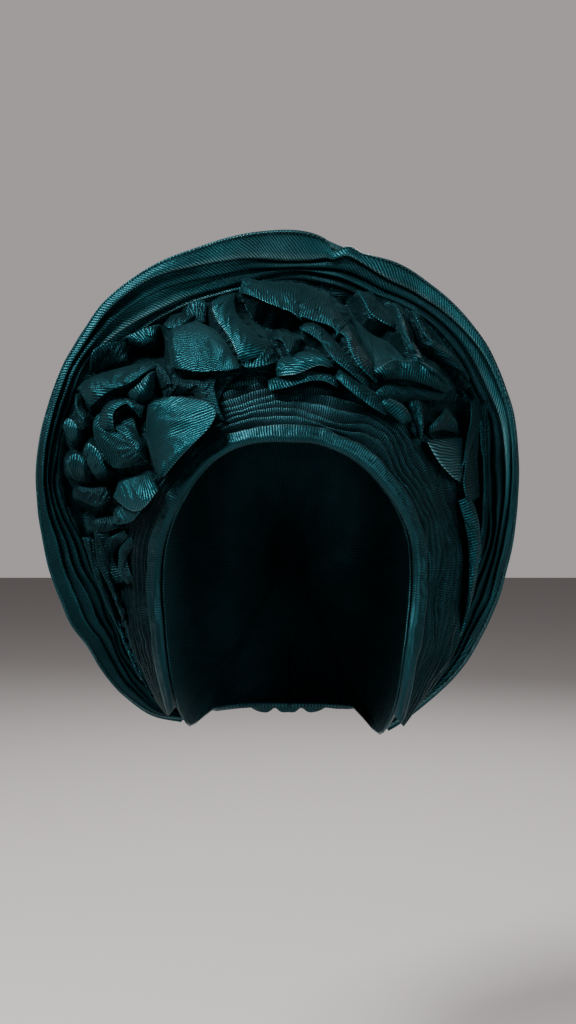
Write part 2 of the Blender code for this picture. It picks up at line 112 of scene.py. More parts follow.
# Crown wrap
# The first turn of the cloth lies close on the crown and the back of the head, one layer of
# satin drawn down to the nape. It is hidden from the front by the pleats and the fan.
HEAD_HALF_WIDTH = 0.072
HEAD_ABOVE = 0.095
HEAD_BELOW = 0.110
HEAD_HALF_DEPTH = 0.097
HEAD_MIDDLE_DEPTH = 0.005
FACE_Z = -HEAD_ABOVE
HEAD_SQUARE_ABOVE = 2.3
HEAD_SQUARE_BELOW = 3.0
HEAD_SQUARE_DEPTH = 2.5
CLOTH = 0.0020
OUTER_CLOTH = 0.0012
LAYER_GAP = 0.0006
FIRST_LAYER = CLOTH + LAYER_GAP
CAP_FRONT_SETBACK = 0.004
CAP_BOTTOM = 0.090
CAP_END_TURN = 7.0
CAP_COLUMNS = 240
CAP_ROWS = 60
CAP_WRAPS_APART = 0.034
CAP_WRAPS_START = 0.050
CAP_WRAPS_EASE = 0.008
CAP_WRAP_LIFT = 0.0016
CAP_WRINKLE_LIFT = 0.0007
POLE_SHARE = 0.004

RING_COLUMNS = ("turn", "open", "stack", "rise", "reach", "sweep",
                "first", "second", "third", "fourth", "lap", "dip")
RINGS = np.array([
    # turn  open  stack  rise  reach  sweep  first  second  third  fourth  lap  dip
    (-146, 0.985, 0.05, 0.25, 0.06, 0.95, 0.01, 0.02, 0.03, 0.04, 0.00, 0.0),
    (-138, 0.930, 0.22, 0.70, 0.22, 0.75, 0.06, 0.12, 0.19, 0.26, 0.00, 0.1),
    (-128, 0.905, 0.40, 0.90, 0.35, 0.55, 0.13, 0.25, 0.37, 0.48, 0.00, 0.5),
    (-115, 0.900, 0.56, 1.00, 0.46, 0.25, 0.20, 0.36, 0.50, 0.63, 0.00, 0.9),
    (-100, 0.915, 0.66, 1.00, 0.59, 0.00, 0.28, 0.48, 0.64, 0.80, 0.00, 1.0),
    (-86, 0.900, 0.68, 1.00, 0.70, 0.00, 0.26, 0.44, 0.60, 0.78, 0.02, 0.7),
    (-75, 0.870, 0.67, 0.97, 0.77, 0.00, 0.12, 0.26, 0.40, 0.55, 0.05, 0.2),
    (-66, 0.840, 0.64, 0.93, 0.83, 0.00, 0.10, 0.20, 0.33, 0.45, 0.18, 0.0),
    (-55, 0.795, 0.60, 0.88, 0.89, 0.00, 0.12, 0.24, 0.36, 0.50, 0.30, 0.0),
    (-38, 0.750, 0.48, 0.80, 0.97, 0.00, 0.14, 0.32, 0.52, 0.80, 0.36, 0.0),
    (-27, 0.722, 0.43, 0.78, 0.99, 0.00, 0.20, 0.48, 0.80, 0.98, 0.36, 0.0),
    (-17, 0.700, 0.38, 0.78, 0.98, 0.00, 0.34, 0.62, 0.90, 1.05, 0.06, 0.0),
    (-5, 0.680, 0.34, 0.78, 1.00, 0.00, 0.48, 0.68, 0.88, 1.05, 0.06, 0.0),
    (4, 0.677, 0.36, 0.78, 0.99, 0.00, 0.44, 0.62, 0.80, 0.98, 0.06, 0.0),
    (10, 0.682, 0.44, 0.78, 0.935, 0.00, 0.14, 0.40, 0.62, 0.82, 0.08, 0.0),
    (20, 0.688, 0.53, 0.78, 0.93, 0.00, 0.32, 0.52, 0.68, 0.80, 0.10, 0.0),
    (32, 0.710, 0.62, 0.80, 0.91, 0.00, 0.26, 0.42, 0.54, 0.68, 0.14, 0.0),
    (46, 0.750, 0.75, 0.85, 0.85, 0.00, 0.10, 0.34, 0.54, 0.72, 0.08, 0.0),
    (60, 0.809, 0.84, 0.92, 0.75, 0.00, 0.09, 0.26, 0.50, 0.70, 0.03, 0.5),
    (75, 0.868, 0.93, 1.00, 0.63, 0.00, 0.10, 0.22, 0.38, 0.56, 0.00, 1.0),
    (90, 0.885, 0.96, 1.00, 0.54, 0.00, 0.10, 0.22, 0.36, 0.50, 0.00, 1.0),
    (104, 0.880, 0.92, 1.00, 0.46, 0.05, 0.10, 0.22, 0.34, 0.44, 0.00, 0.8),
    (118, 0.862, 0.74, 1.00, 0.37, 0.30, 0.09, 0.18, 0.28, 0.36, 0.00, 0.3),
    (130, 0.862, 0.42, 0.90, 0.25, 0.55, 0.06, 0.13, 0.20, 0.26, 0.00, 0.0),
    (140, 0.900, 0.16, 0.65, 0.14, 0.75, 0.04, 0.09, 0.14, 0.19, 0.00, 0.0),
    (149, 0.955, 0.04, 0.30, 0.06, 0.95, 0.01, 0.02, 0.03, 0.04, 0.00, 0.0),
])
LEFT_END = RINGS[0, 0]
RIGHT_END = RINGS[-1, 0]


def ring(name, turn):
    """One column of RINGS at any turns: a cubic curve through its rows, each row's slope being
    the slope between its neighbours."""
    turns = RINGS[:, 0]
    values = RINGS[:, RING_COLUMNS.index(name)]
    slopes = np.gradient(values, turns)
    turn = np.clip(turn, LEFT_END, RIGHT_END)
    row = np.clip(np.searchsorted(turns, turn, side="right") - 1, 0, len(turns) - 2)
    step = turns[row + 1] - turns[row]
    u = (turn - turns[row]) / step
    leaving = (1 + 2 * u) * (1 - u) ** 2 * values[row] + u * (1 - u) ** 2 * step * slopes[row]
    reaching = u * u * (3 - 2 * u) * values[row + 1] - u * u * (1 - u) * step * slopes[row + 1]
    return leaving + reaching


def place(turn, radius, depth):
    """X, Y and Z of places given by turn, radius and depth."""
    angle = np.radians(turn)
    return np.stack(np.broadcast_arrays(radius * np.sin(angle), depth,
                                        FACE_Z + radius * np.cos(angle)), axis=-1)


def head_radius(turn):
    """Radius of the hollow at its widest: the rounded square |sin/width|^n + |cos/height|^n = 1,
    with a larger n below."""
    angle = np.radians(turn)
    up = np.cos(angle)
    power = HEAD_SQUARE_ABOVE + (HEAD_SQUARE_BELOW - HEAD_SQUARE_ABOVE) * np.clip(-2 * up, 0, 1)
    wide = np.abs(np.sin(angle)) / HEAD_HALF_WIDTH
    tall = np.abs(up) / np.where(up >= 0, HEAD_ABOVE, HEAD_BELOW)
    return (wide ** power + tall ** power) ** (-1 / power)


def layer_radius(turn, depth, offset):
    """Radius at a depth of the layer an offset outside the hollow: the widest radius times
    (1 - |depth share|^m)^(1/m)."""
    share = np.clip((depth - HEAD_MIDDLE_DEPTH) / (HEAD_HALF_DEPTH + offset), -1, 1)
    fullness = (1 - np.abs(share) ** HEAD_SQUARE_DEPTH) ** (1 / HEAD_SQUARE_DEPTH)
    return (head_radius(turn) + offset) * fullness


def opening(turn):
    """Radius and depth of the face opening's edge, on the first layer over the cap."""
    share = ring("open", turn)
    back = (1 - share ** HEAD_SQUARE_DEPTH) ** (1 / HEAD_SQUARE_DEPTH)
    return (share * (head_radius(turn) + FIRST_LAYER),
            HEAD_MIDDLE_DEPTH - (HEAD_HALF_DEPTH + FIRST_LAYER) * back)


def cap_edge_depth(turn):
    """Depth of the cap's edge: a setback behind the brow, eased below into a level cut."""
    front = opening(turn)[1] + CAP_FRONT_SETBACK
    level = CAP_BOTTOM / np.maximum(-np.cos(np.radians(turn)), 0.5) / head_radius(turn)
    back = (1 - np.minimum(level, 1) ** HEAD_SQUARE_DEPTH) ** (1 / HEAD_SQUARE_DEPTH)
    below = np.where(turn > 0, turn - RIGHT_END, LEFT_END - turn) / CAP_END_TURN
    below = np.clip(below, 0, 1)
    nape = HEAD_MIDDLE_DEPTH + HEAD_HALF_DEPTH * back
    return front + (nape - front) * below * below * (3 - 2 * below)


LATTICE = (97, 89)


def crumple(x, y, size, seed):
    """Smooth random height from -1 to 1: a lattice of random values, one every size along x
    and y, blended across each cell by 3t^2 - 2t^3."""
    lattice = np.random.default_rng(seed).uniform(-1, 1, LATTICE)
    across, along = np.broadcast_arrays(np.asarray(x) / size, np.asarray(y) / size)
    i = np.floor(across).astype(int)
    j = np.floor(along).astype(int)
    u = across - i
    v = along - j
    u = u * u * (3 - 2 * u)
    v = v * v * (3 - 2 * v)
    left, right = i % LATTICE[0], (i + 1) % LATTICE[0]
    low, high = (lattice[left, row % LATTICE[1]] * (1 - u) + lattice[right, row % LATTICE[1]] * u
                 for row in (j, j + 1))
    return low * (1 - v) + high * v


def weave_map(points, bias=0.0):
    """Weave coordinates in millimetres: the mean run along the rows and the run across them,
    turned by the bias angle in degrees."""
    along = np.linalg.norm(np.diff(points, axis=0), axis=-1).mean(axis=1)
    across = np.linalg.norm(np.diff(points, axis=1), axis=-1)
    along = np.concatenate([[0], np.cumsum(along)])[:, None]
    across = np.concatenate([np.zeros((len(points), 1)), np.cumsum(across, axis=1)], axis=1)
    cos, sin = math.cos(math.radians(bias)), math.sin(math.radians(bias))
    return np.stack([along * cos + across * sin, across * cos - along * sin], axis=-1) * 1000


def build_mesh(name, points, quads, weave, fold, material):
    """Object from arrays of points, of four-cornered faces, of each face corner's weave and of
    each point's painted light and shade, its fold attribute: highlight at a fold's edge, shade
    below 0."""
    mesh = bpy.data.meshes.new(name)
    mesh.vertices.add(len(points))
    mesh.vertices.foreach_set("co", np.asarray(points, dtype=np.float32).ravel())
    mesh.loops.add(quads.size)
    mesh.loops.foreach_set("vertex_index", quads.astype(np.int32).ravel())
    mesh.polygons.add(len(quads))
    mesh.polygons.foreach_set("loop_start", np.arange(0, quads.size, 4, dtype=np.int32))
    mesh.update(calc_edges=True)
    layer = mesh.uv_layers.new(name="weave")
    layer.data.foreach_set("uv", np.asarray(weave, dtype=np.float32).ravel())
    glint_and_shade_of = mesh.attributes.new("fold", "FLOAT", "POINT")
    glint_and_shade_of.data.foreach_set("value", np.asarray(fold, dtype=np.float32).ravel())
    mesh.shade_smooth()
    mesh.materials.append(material)
    piece = bpy.data.objects.new(name, mesh)
    bpy.context.collection.objects.link(piece)
    return piece


def shader_node(tree, kind, inputs=(), **settings):
    """Shader node with its settings and its inputs, each a value or another node's socket."""
    node = tree.nodes.new(kind)
    for key, value in settings.items():
        setattr(node, key, value)
    for key, value in inputs:
        if isinstance(value, bpy.types.NodeSocket):
            tree.links.new(value, node.inputs[key])
        else:
            node.inputs[key].default_value = value
    return node


RIB_PITCH = 1.3
THREAD_PITCH = 0.62
RIB_DEPTH = 0.00030
# Pale colour of the painted highlights on the threads at the folds' edges
PAINTED_GLINT_COLOUR = (0.20, 0.31, 0.32)


def satin(name, dark, light, roughness, ribs):
    """Cross-ribbed satin: sine ribs along the weave's run and finer threads across them lift
    the surface and brighten it, and slow noise shades it as handling does. The fold attribute
    paints light and shade: it lightens or darkens the tone, and above 0 it paints pale glints on
    the threads, a painted highlight at the folds' edges. Its ribs are a share of RIB_DEPTH deep."""
    material = bpy.data.materials.new(name)
    material.use_nodes = True
    tree = material.node_tree
    shader = tree.nodes["Principled BSDF"]
    weave = shader_node(tree, "ShaderNodeUVMap", uv_map="weave").outputs[0]
    parts = shader_node(tree, "ShaderNodeSeparateXYZ", [(0, weave)]).outputs
    fold = shader_node(tree, "ShaderNodeAttribute", attribute_name="fold").outputs["Fac"]

    def math_node(operation, *values):
        return shader_node(tree, "ShaderNodeMath", list(enumerate(values)),
                           operation=operation).outputs[0]

    def noise(scale, detail):
        return shader_node(tree, "ShaderNodeTexNoise", [("Vector", weave), ("Scale", scale),
                                                        ("Detail", detail)]).outputs[0]

    def mapped(value, *ends):
        names = ("From Min", "From Max", "To Min", "To Max")
        return shader_node(tree, "ShaderNodeMapRange",
                           [("Value", value)] + list(zip(names, ends))).outputs[0]

    shift = math_node("MULTIPLY", noise(0.10, 1.0), 1.8)
    waves = [math_node("SINE", math_node("MULTIPLY", math_node("ADD", run, shift),
                                         2 * math.pi / pitch))
             for run, pitch in ((parts[0], RIB_PITCH), (parts[1], THREAD_PITCH))]
    threads = math_node("MULTIPLY_ADD", waves[1], 0.35, waves[0])
    height = math_node("MULTIPLY_ADD", noise(0.9, 2.0), 0.9, threads)
    lift = mapped(height, -0.8, 1.9, 0.0, 1.0)
    tone = math_node("MULTIPLY_ADD", noise(0.05, 3.0), 0.7, 0.6 * (1 - ribs))
    tone = math_node("MULTIPLY_ADD", lift, 1.5 * ribs, tone)
    # Painted light and shade: the fold attribute lightens or darkens the tone
    tone = math_node("MULTIPLY_ADD", fold, 0.5, tone)
    colour = shader_node(tree, "ShaderNodeMix", [("Factor", mapped(tone, 0.65, 1.85, 0.0, 1.0))],
                         data_type="RGBA")
    colour.inputs[6].default_value = (*dark, 1)
    colour.inputs[7].default_value = (*light, 1)
    bump = shader_node(tree, "ShaderNodeBump", [("Strength", 1.0), ("Distance", RIB_DEPTH * ribs),
                                                ("Height", lift)]).outputs[0]
    # Painted highlight: pale glints on the threads where the fold attribute is above 0
    glint = math_node("MULTIPLY", fold, mapped(threads, -0.4, 1.1, 0.0, 1.0))
    pale = shader_node(tree, "ShaderNodeMix", [("Factor", math_node("MULTIPLY", glint, 0.8))],
                       data_type="RGBA")
    tree.links.new(colour.outputs[2], pale.inputs[6])
    pale.inputs[7].default_value = (*PAINTED_GLINT_COLOUR, 1)
    tree.links.new(pale.outputs[2], shader.inputs["Base Color"])
    tree.links.new(mapped(lift, 0.0, 1.0, roughness + 0.12, roughness - 0.06),
                   shader.inputs["Roughness"])
    tree.links.new(bump, shader.inputs["Normal"])
    shader.inputs["Metallic"].default_value = 0.92
    shader.inputs["Specular IOR Level"].default_value = 0.3
    shader.inputs["Sheen Weight"].default_value = 0.06
    shader.inputs["Sheen Roughness"].default_value = 0.45
    shader.inputs["Sheen Tint"].default_value = (0.25, 0.75, 0.85, 1)
    return material


def wrap_height(points):
    """Height of the cap's wraps: slanting layers, each rising slowly and ending in a soft step,
    with wrinkles drawn towards the nape."""
    slant = (points[..., 2] - FACE_Z + 0.5 * np.abs(points[..., 0])) / CAP_WRAPS_APART
    slant = slant + 0.3 * crumple(points[..., 0], points[..., 2], 0.05, 3)
    step = slant - np.floor(slant)
    layer = step ** 0.7 * np.clip((1 - step) / 0.07, 0, 1)
    turn = np.arctan2(points[..., 0], -points[..., 2] + 0.03)
    wrinkle = 1 - np.abs(crumple(turn * 0.10, points[..., 2] * 0.3, 0.009, 5))
    return CAP_WRAP_LIFT * layer + CAP_WRINKLE_LIFT * wrinkle ** 3


turns = np.linspace(-180, 180, CAP_COLUMNS + 1)[:-1, None]
bend = (1 - POLE_SHARE) * np.sin(np.linspace(0, 1, CAP_ROWS) * np.pi / 2)[None, :]
edge = cap_edge_depth(turns)
cap_layers = []
for offset in (0, OUTER_CLOTH):
    pole = HEAD_MIDDLE_DEPTH + HEAD_HALF_DEPTH + offset
    cap_depth = edge + (pole - edge) * bend
    cap_layers.append(place(turns, layer_radius(turns, cap_depth, offset), cap_depth))
outward = cap_layers[1] - np.array([0, HEAD_MIDDLE_DEPTH, FACE_Z])
outward /= np.linalg.norm(outward, axis=-1, keepdims=True)
behind = np.clip((cap_layers[1][..., 1] - CAP_WRAPS_START) / CAP_WRAPS_EASE, 0, 1)[..., None]
cap_layers[1] = cap_layers[1] + outward * wrap_height(cap_layers[1])[..., None] * behind

index = np.arange(CAP_COLUMNS * CAP_ROWS).reshape(CAP_COLUMNS, CAP_ROWS)
beside = np.roll(index, -1, axis=0)
shift = index.size
skin = np.stack([index[:, :-1], beside[:, :-1], beside[:, 1:], index[:, 1:]], axis=-1)
skin = skin.reshape(-1, 4)
hem = np.stack([beside[:, 0], index[:, 0], index[:, 0] + shift, beside[:, 0] + shift], axis=-1)
half = np.arange(CAP_COLUMNS // 2 - 1)
last = index[:, -1]
pole_faces = np.stack([last[half], last[half + 1], last[-2 - half], last[-1 - half]], axis=-1)
quads = np.concatenate([skin, pole_faces, skin[:, ::-1] + shift, pole_faces[:, ::-1] + shift, hem])
weave = np.tile(weave_map(cap_layers[1]).reshape(-1, 2), (2, 1))[quads]
crossing = np.ptp(weave[..., 0], axis=1) > 100
weave[..., 0] = np.where(crossing[:, None] & (weave[..., 0] < 100),
                         weave[..., 0] + weave[..., 0].max(), weave[..., 0])
# The parts are all one teal satin; each gets dark and light colours of its own, set for how
# brightly it is lit: painted light and shade
crown_satin = satin("crown satin", (0.002, 0.010, 0.013), (0.018, 0.080, 0.094), 0.42, 0.8)
crown = build_mesh("crown_wrap",
                   np.concatenate([cap_layers[1].reshape(-1, 3), cap_layers[0].reshape(-1, 3)]),
                   quads, weave, np.zeros(2 * index.size), crown_satin)
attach(crown, "root")
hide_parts("crown_cap")

# Brow band
# The folded edge that frames the face: the cloth is turned under once and lies flat on the
# forehead and the temples, wider and smoother than the pleats above it.
BAND_WIDTH = 0.008
BAND_LIFT = 0.0016
BROW_STACK = 0.024
BROW_RISE = 0.032
BROW_BULGE = 0.002
BROW_COLUMNS = 440
BROW_LEFT_END = LEFT_END + 5
BROW_RIGHT_END = RIGHT_END - 5
BAND_WAVER = 0.0005


def brow_edge(turn):
    """Radius and depth of the outer edge of the brow's stack of pleats."""
    depth = opening(turn)[1] + BROW_RISE * ring("rise", turn)
    return head_radius(turn) + FIRST_LAYER + BROW_STACK * ring("stack", turn), depth


def line_normal(start, end):
    """Unit direction square to the line from start to end, to the front: (dd, -dr) / length."""
    along_radius = end[0] - start[0]
    along_depth = end[1] - start[1]
    length = np.hypot(along_radius, along_depth)
    return along_depth / length, -along_radius / length


def brow_place(turn, share, lift):
    """Place at a share of the way up the brow, lifted off its base line to the front, with a
    bulge of a half sine."""
    start = opening(turn)
    end = brow_edge(turn)
    normal = line_normal(start, end)
    height = lift + BROW_BULGE * ring("rise", turn) * np.sin(np.clip(share, 0, 1) * np.pi)
    return (start[0] + (end[0] - start[0]) * share + normal[0] * height,
            start[1] + (end[1] - start[1]) * share + normal[1] * height)


def brow_length(turn):
    """Length of the brow's base line."""
    start = opening(turn)
    end = brow_edge(turn)
    return np.hypot(end[0] - start[0], end[1] - start[1])


def band_share(turn):
    """Share of the brow that its first wide fold takes."""
    return np.minimum(BAND_WIDTH / brow_length(turn), 0.35)


def shell(front, back, bias=0.0, fold=0.0):
    """Points, faces, weave and painted light and shade (the fold attribute) of the closed wall
    between a front and a back grid, with a strip round its edge."""
    rows, columns = front.shape[:2]
    index = np.arange(rows * columns).reshape(rows, columns)
    shift = index.size
    skin = np.stack([index[:-1, :-1], index[1:, :-1], index[1:, 1:], index[:-1, 1:]], axis=-1)
    skin = skin.reshape(-1, 4)
    edge = np.concatenate([index[0, :], index[1:, -1], index[-1, -2::-1], index[-2:0:-1, 0]])
    after = np.roll(edge, -1)
    strip = np.stack([edge, after, after + shift, edge + shift], axis=-1)
    quads = np.concatenate([skin, skin[:, ::-1] + shift, strip])
    weave = np.tile(weave_map(front, bias).reshape(-1, 2), (2, 1))[quads]
    fold = np.broadcast_to(fold, (rows, columns)).ravel()
    return (np.concatenate([front.reshape(-1, 3), back.reshape(-1, 3)]), quads, weave,
            np.concatenate([fold, 0 * fold]))


def side_shade(turn):
    """Tone by turn: the sides lie in more shade than the top, the left most."""
    return np.interp(turn, (-110, -60, -15, 40, 110), (-0.8, -0.6, 0, 0, -0.1))


turns = np.linspace(BROW_LEFT_END, BROW_RIGHT_END, BROW_COLUMNS)[:, None]
band_face = np.array([(0.00, 0.10), (-0.02, 0.35), (0.00, 0.62), (0.05, 0.82), (0.14, 0.95),
                      (0.28, 1.00), (0.42, 0.97), (0.56, 0.98), (0.70, 1.02), (0.84, 1.02),
                      (0.94, 0.96), (1.00, 0.80), (0.99, 0.60), (0.94, 0.50)])
share = band_face[None, :, 0]
thick = (CLOTH + BAND_LIFT) * band_face[None, :, 1]
thick = thick + BAND_WAVER * crumple(turns, share * 4, 3.1, 11) * np.sin(np.pi * share)
thick = thick + 0.6 * BAND_WAVER * crumple(turns, share * 9, 1.3, 12) * np.sin(np.pi * share)
waver = 1 + 0.10 * crumple(turns, 0 * turns, 5.0, 13)
band_radius, band_depth = brow_place(turns, band_share(turns) * share * waver, thick)
band_radius = np.maximum(band_radius, layer_radius(turns, band_depth, FIRST_LAYER))
front = place(turns, band_radius, band_depth)
under_share = np.linspace(0, 0.94, band_face.shape[0])[None, :] * band_share(turns)
under = brow_place(turns, under_share, 0.0)
under_radius = np.maximum(under[0], layer_radius(turns, under[1], FIRST_LAYER))
back = place(turns, under_radius, under[1])
# Painted highlight along the band's folded edge, and the sides' painted shade
band_glint_and_shade = np.exp(-((band_face[None, :, 0] - 0.97) / 0.08) ** 2) + 0.5 * side_shade(turns)
# Colours of its own on the same satin, set for how brightly this part is lit: painted light and
# shade
band_satin = satin("band satin", (0.003, 0.014, 0.018), (0.017, 0.105, 0.125), 0.38, 0.45)
band = build_mesh("brow_fold", *shell(front, back, 0.0, band_glint_and_shade), band_satin)
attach(band, "root")
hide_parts("brow_band")

# Brow pleats
# Nine narrow pleats of the same cloth stacked above the band, each one's folded edge to the
# outside and pinned over the next, so that they run round the face like the leaves of a book.
BROW_PLEATS = 9
BROW_PLEAT_LIFT = 0.0034
PLEAT_UNEVEN = 0.75
PLEAT_COLUMNS = 380
BAND_GAP = 0.0003
# The outermost LIT_PLEATS pleats are painted lighter round LIT_TURN, over LIT_REACH degrees:
# painted light where the petals shade them
LIT_PLEATS = 3
LIT_TURN = 6
LIT_REACH = 22
# A pleat's profile: share of its width from its root, and share of its lift
PLEAT_PROFILE = np.array([(-0.40, 0.00), (-0.10, 0.10), (0.15, 0.26), (0.42, 0.62), (0.70, 0.92),
                          (0.90, 1.00), (1.00, 0.92), (1.00, 0.74), (0.86, 0.56), (0.66, 0.42)])
# Painted light along a pleat's profile: painted shade at its root and under its fold, a painted
# highlight at its folded edge
PLEAT_GLINT_AND_SHADE = np.array([-1.3, -1.3, -1.0, -0.6, -0.2, 0.5, 0.8, 0.5, 0, -1.3])


def pleated(edges, lifts):
    """Positions and heights of overlapping pleats between edges: each goes out to its fold, and
    back under it to where the next one starts."""
    places = []
    heights = []
    for inner, outer, lift in zip(edges[:-1], edges[1:], lifts):
        places.append(inner + (outer - inner) * PLEAT_PROFILE[None, :, 0])
        heights.append(lift * PLEAT_PROFILE[None, :, 1])
    return np.concatenate(places, axis=1), np.concatenate(heights, axis=1)


turns = np.linspace(BROW_LEFT_END, BROW_RIGHT_END, PLEAT_COLUMNS)[:, None]
start = band_share(turns) + BAND_GAP / brow_length(turns)
widths = np.concatenate([np.exp(PLEAT_UNEVEN * crumple(turns, 0 * turns + pleat * 7.3, 17.0, 21)
                                + 0.12 * crumple(turns, 0 * turns + pleat * 3.1, 4.0, 22))
                         for pleat in range(BROW_PLEATS)], axis=1)
reached = np.cumsum(widths, axis=1) / widths.sum(axis=1, keepdims=True)
edges = [start] + [start + (1 - start) * reached[:, [pleat]] for pleat in range(BROW_PLEATS)]
lifts = []
for pleat in range(BROW_PLEATS):
    size = 0.85 + 0.35 * crumple(turns, 0 * turns + pleat * 5.7, 8.0, 23)
    size = size * np.clip(widths[:, [pleat]], 0.5, 1.4) ** 0.5
    lifts.append(BROW_PLEAT_LIFT * np.minimum(1, 0.25 + ring("stack", turns)) * size)
share, lift = pleated(edges, lifts)
lift = lift * (1 + 0.12 * crumple(turns, share * 60, 2.1, 24))
pleat_radius, pleat_depth = brow_place(turns, share, lift)
front = place(turns, pleat_radius, pleat_depth)
under_share = start + (1 - start) * np.linspace(0, 1, share.shape[1])[None, :]
under = brow_place(turns, under_share, -CLOTH * np.minimum(1, 3 * under_share))
under_radius = np.maximum(under[0], layer_radius(turns, under[1], FIRST_LAYER))
back = place(turns, under_radius, under[1])
# Colours of its own on the same satin, set for how brightly this part is lit: painted light and
# shade
pleat_satin = satin("pleat satin", (0.001, 0.006, 0.008), (0.014, 0.085, 0.102), 0.38, 0.6)
# Painted light and shade on the pleats: each profile's highlight and shade, all a little darker,
# the sides' painted shade, and painted light on the outermost pleats
glint_and_shade = np.tile(PLEAT_GLINT_AND_SHADE, BROW_PLEATS)[None, :] - 0.3 + side_shade(turns)
outermost = np.arange(glint_and_shade.shape[1])[None, :] >= (BROW_PLEATS - LIT_PLEATS) * len(PLEAT_GLINT_AND_SHADE)
glint_and_shade = glint_and_shade + 0.9 * outermost * np.exp(-((turns - LIT_TURN) / LIT_REACH) ** 2)
pleats = build_mesh("brow_folds", *shell(front, back, 0.0, glint_and_shade), pleat_satin)
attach(pleats, "root")
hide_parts("brow_pleats")

# Fan front
# The wide tail of the cloth, brought round behind the crown and spread into a disc. Its front
# wall is laid in folds along the rim, whose free edges face the head.
FAN_REACH = 0.093
FAN_RIM_DEPTH = -0.012
FAN_END_SWEEP = 0.032
FAN_PLEAT_ZONE = 0.026
FAN_PLEAT_RISE = 0.012
FAN_PLEAT_LIFT = 0.0042
FAN_FOOT_DEPTH = 0.016
FAN_FOOT_SWEEP = 0.009
FAN_COLUMNS = 520
FAN_WALL_ROWS = 22
FAN_RIM_ROLL = 0.0013
RIM_WAVER = 0.0008
RIM_NOTCH = 0.0034
NOTCH_ROWS = 15
NOTCH_EASE_ROWS = 8
RIM_ROWS = 6
# Tone of each fold of the fan, from the rim in, at turns round it: painted light above 0 and
# painted shade below 0
FAN_PAINTED_LIGHT_TURNS = (-146, -110, -60, -38, -22, -12, 0, 10, 18, 32, 46, 58, 70, 84, 104, 149)
FAN_PAINTED_LIGHT = (
    (-0.8, -0.8, -0.5, -0.2, 0.1, 0.3, 0.4, 0.1, 0.2, 0.3, 0.1, -0.1, -0.3, -0.2, -0.3, -0.4),
    (-0.8, -0.8, -0.7, -0.7, -0.3, -0.3, -0.8, -0.5, -0.9, -0.9, 0.1, 0.5, 0.2, -1.2, -0.8, -0.6),
    (-0.8, -0.8, -0.8, 0.4, 0.3, -0.6, -1.6, -0.5, -0.6, -1.3, -1.3, -1.3, -1.4, -1.5, -0.8, -0.6),
    (-0.9, -0.9, -0.8, 0.0, 0.5, 0.4, -1.6, -1.6, -1.2, -1.4, -1.4, -1.4, -1.5, -1.5, -0.8, -0.6),
)


def rim_notch(turn):
    """Length that the rim is drawn in where two folds part at the top, and out beside it."""
    drawn_in = np.exp(-((turn - 8.4) / 1.1) ** 2)
    pushed_out = np.exp(-((turn - 11.2) / 1.3) ** 2)
    return RIM_NOTCH * (drawn_in - 0.5 * pushed_out)


def rim(turn):
    """Radius and depth of the fan's rim."""
    return (head_radius(turn) + FAN_REACH * ring("reach", turn),
            FAN_RIM_DEPTH + FAN_END_SWEEP * ring("sweep", turn))


def fan_fold(turn, share):
    """Radius and depth on the fan's front at a share of its folded zone in from the rim."""
    radius, depth = rim(turn)
    return radius - FAN_PLEAT_ZONE * share, depth + FAN_PLEAT_RISE * share


def fan_foot(turn, depth):
    """Radius and depth where a wall of the fan meets the crown."""
    depth = depth + FAN_FOOT_SWEEP * ring("sweep", turn)
    return layer_radius(turn, depth, FIRST_LAYER), depth


def fan_front(turn, spot, lift):
    """Place lifted off the fan's front wall, square to its line from foot to rim."""
    normal = line_normal(fan_foot(turn, FAN_FOOT_DEPTH), rim(turn))
    return spot[0] + normal[0] * lift, spot[1] + normal[1] * lift


def fan_size(turn):
    """Share of a fold's full height on the fan, less where the fan is narrow."""
    return np.minimum(1, 0.1 + 1.8 * ring("reach", turn))


turns = np.linspace(LEFT_END, RIGHT_END, FAN_COLUMNS)[:, None]
edges = [0 * turns]
lifts = []
for fold, name in enumerate(("first", "second", "third", "fourth")):
    waver = 1 + 0.16 * crumple(turns, 0 * turns + fold * 4.0, 9.0, 31)
    edges.append(ring(name, turns) * waver)
    size = 0.90 + 0.40 * crumple(turns, 0 * turns + fold * 9.0, 11.0, 32)
    lifts.append(FAN_PLEAT_LIFT * fan_size(turns) * size)
share, lift = pleated(edges, lifts)
lift = lift * (1 + 0.10 * crumple(turns, share * 30, 3.0, 33))
folds = fan_front(turns, fan_fold(turns, share), lift)
innermost = fan_fold(turns, edges[-1])
foot = fan_foot(turns, FAN_FOOT_DEPTH)
down = np.linspace(-0.12, 1, FAN_WALL_ROWS)[None, :]
wall = (innermost[0] + (foot[0] - innermost[0]) * down,
        innermost[1] + (foot[1] - innermost[1]) * down)
wall_lift = 0.0012 * crumple(turns, down * 2, 2.2, 34) * np.clip(down, 0, 1)
wall = fan_front(turns, wall, wall_lift * fan_size(turns))
roll = np.radians(np.linspace(-80, 60, RIM_ROWS))[None, :]
edge = rim(turns)
rolled = fan_front(turns, (edge[0] + FAN_RIM_ROLL * (np.cos(roll) - 0.8), edge[1] + 0 * roll),
                   FAN_RIM_ROLL * (np.sin(roll) - 0.2))
fan_radius = np.concatenate([rolled[0], folds[0][:, 1:], wall[0]], axis=1)[:, ::-1]
fan_depth = np.concatenate([rolled[1], folds[1][:, 1:], wall[1]], axis=1)[:, ::-1]
fan_radius = fan_radius + RIM_WAVER * crumple(turns, 0 * turns, 7.0, 35) * fan_size(turns)
from_rim = np.arange(fan_radius.shape[1])[None, ::-1]
near_rim = np.clip((NOTCH_ROWS - from_rim) / NOTCH_EASE_ROWS, 0, 1)
fan_radius = fan_radius - rim_notch(turns) * near_rim
front = place(turns, fan_radius, fan_depth)
rows = np.linspace(0, 1, front.shape[1])[None, :]
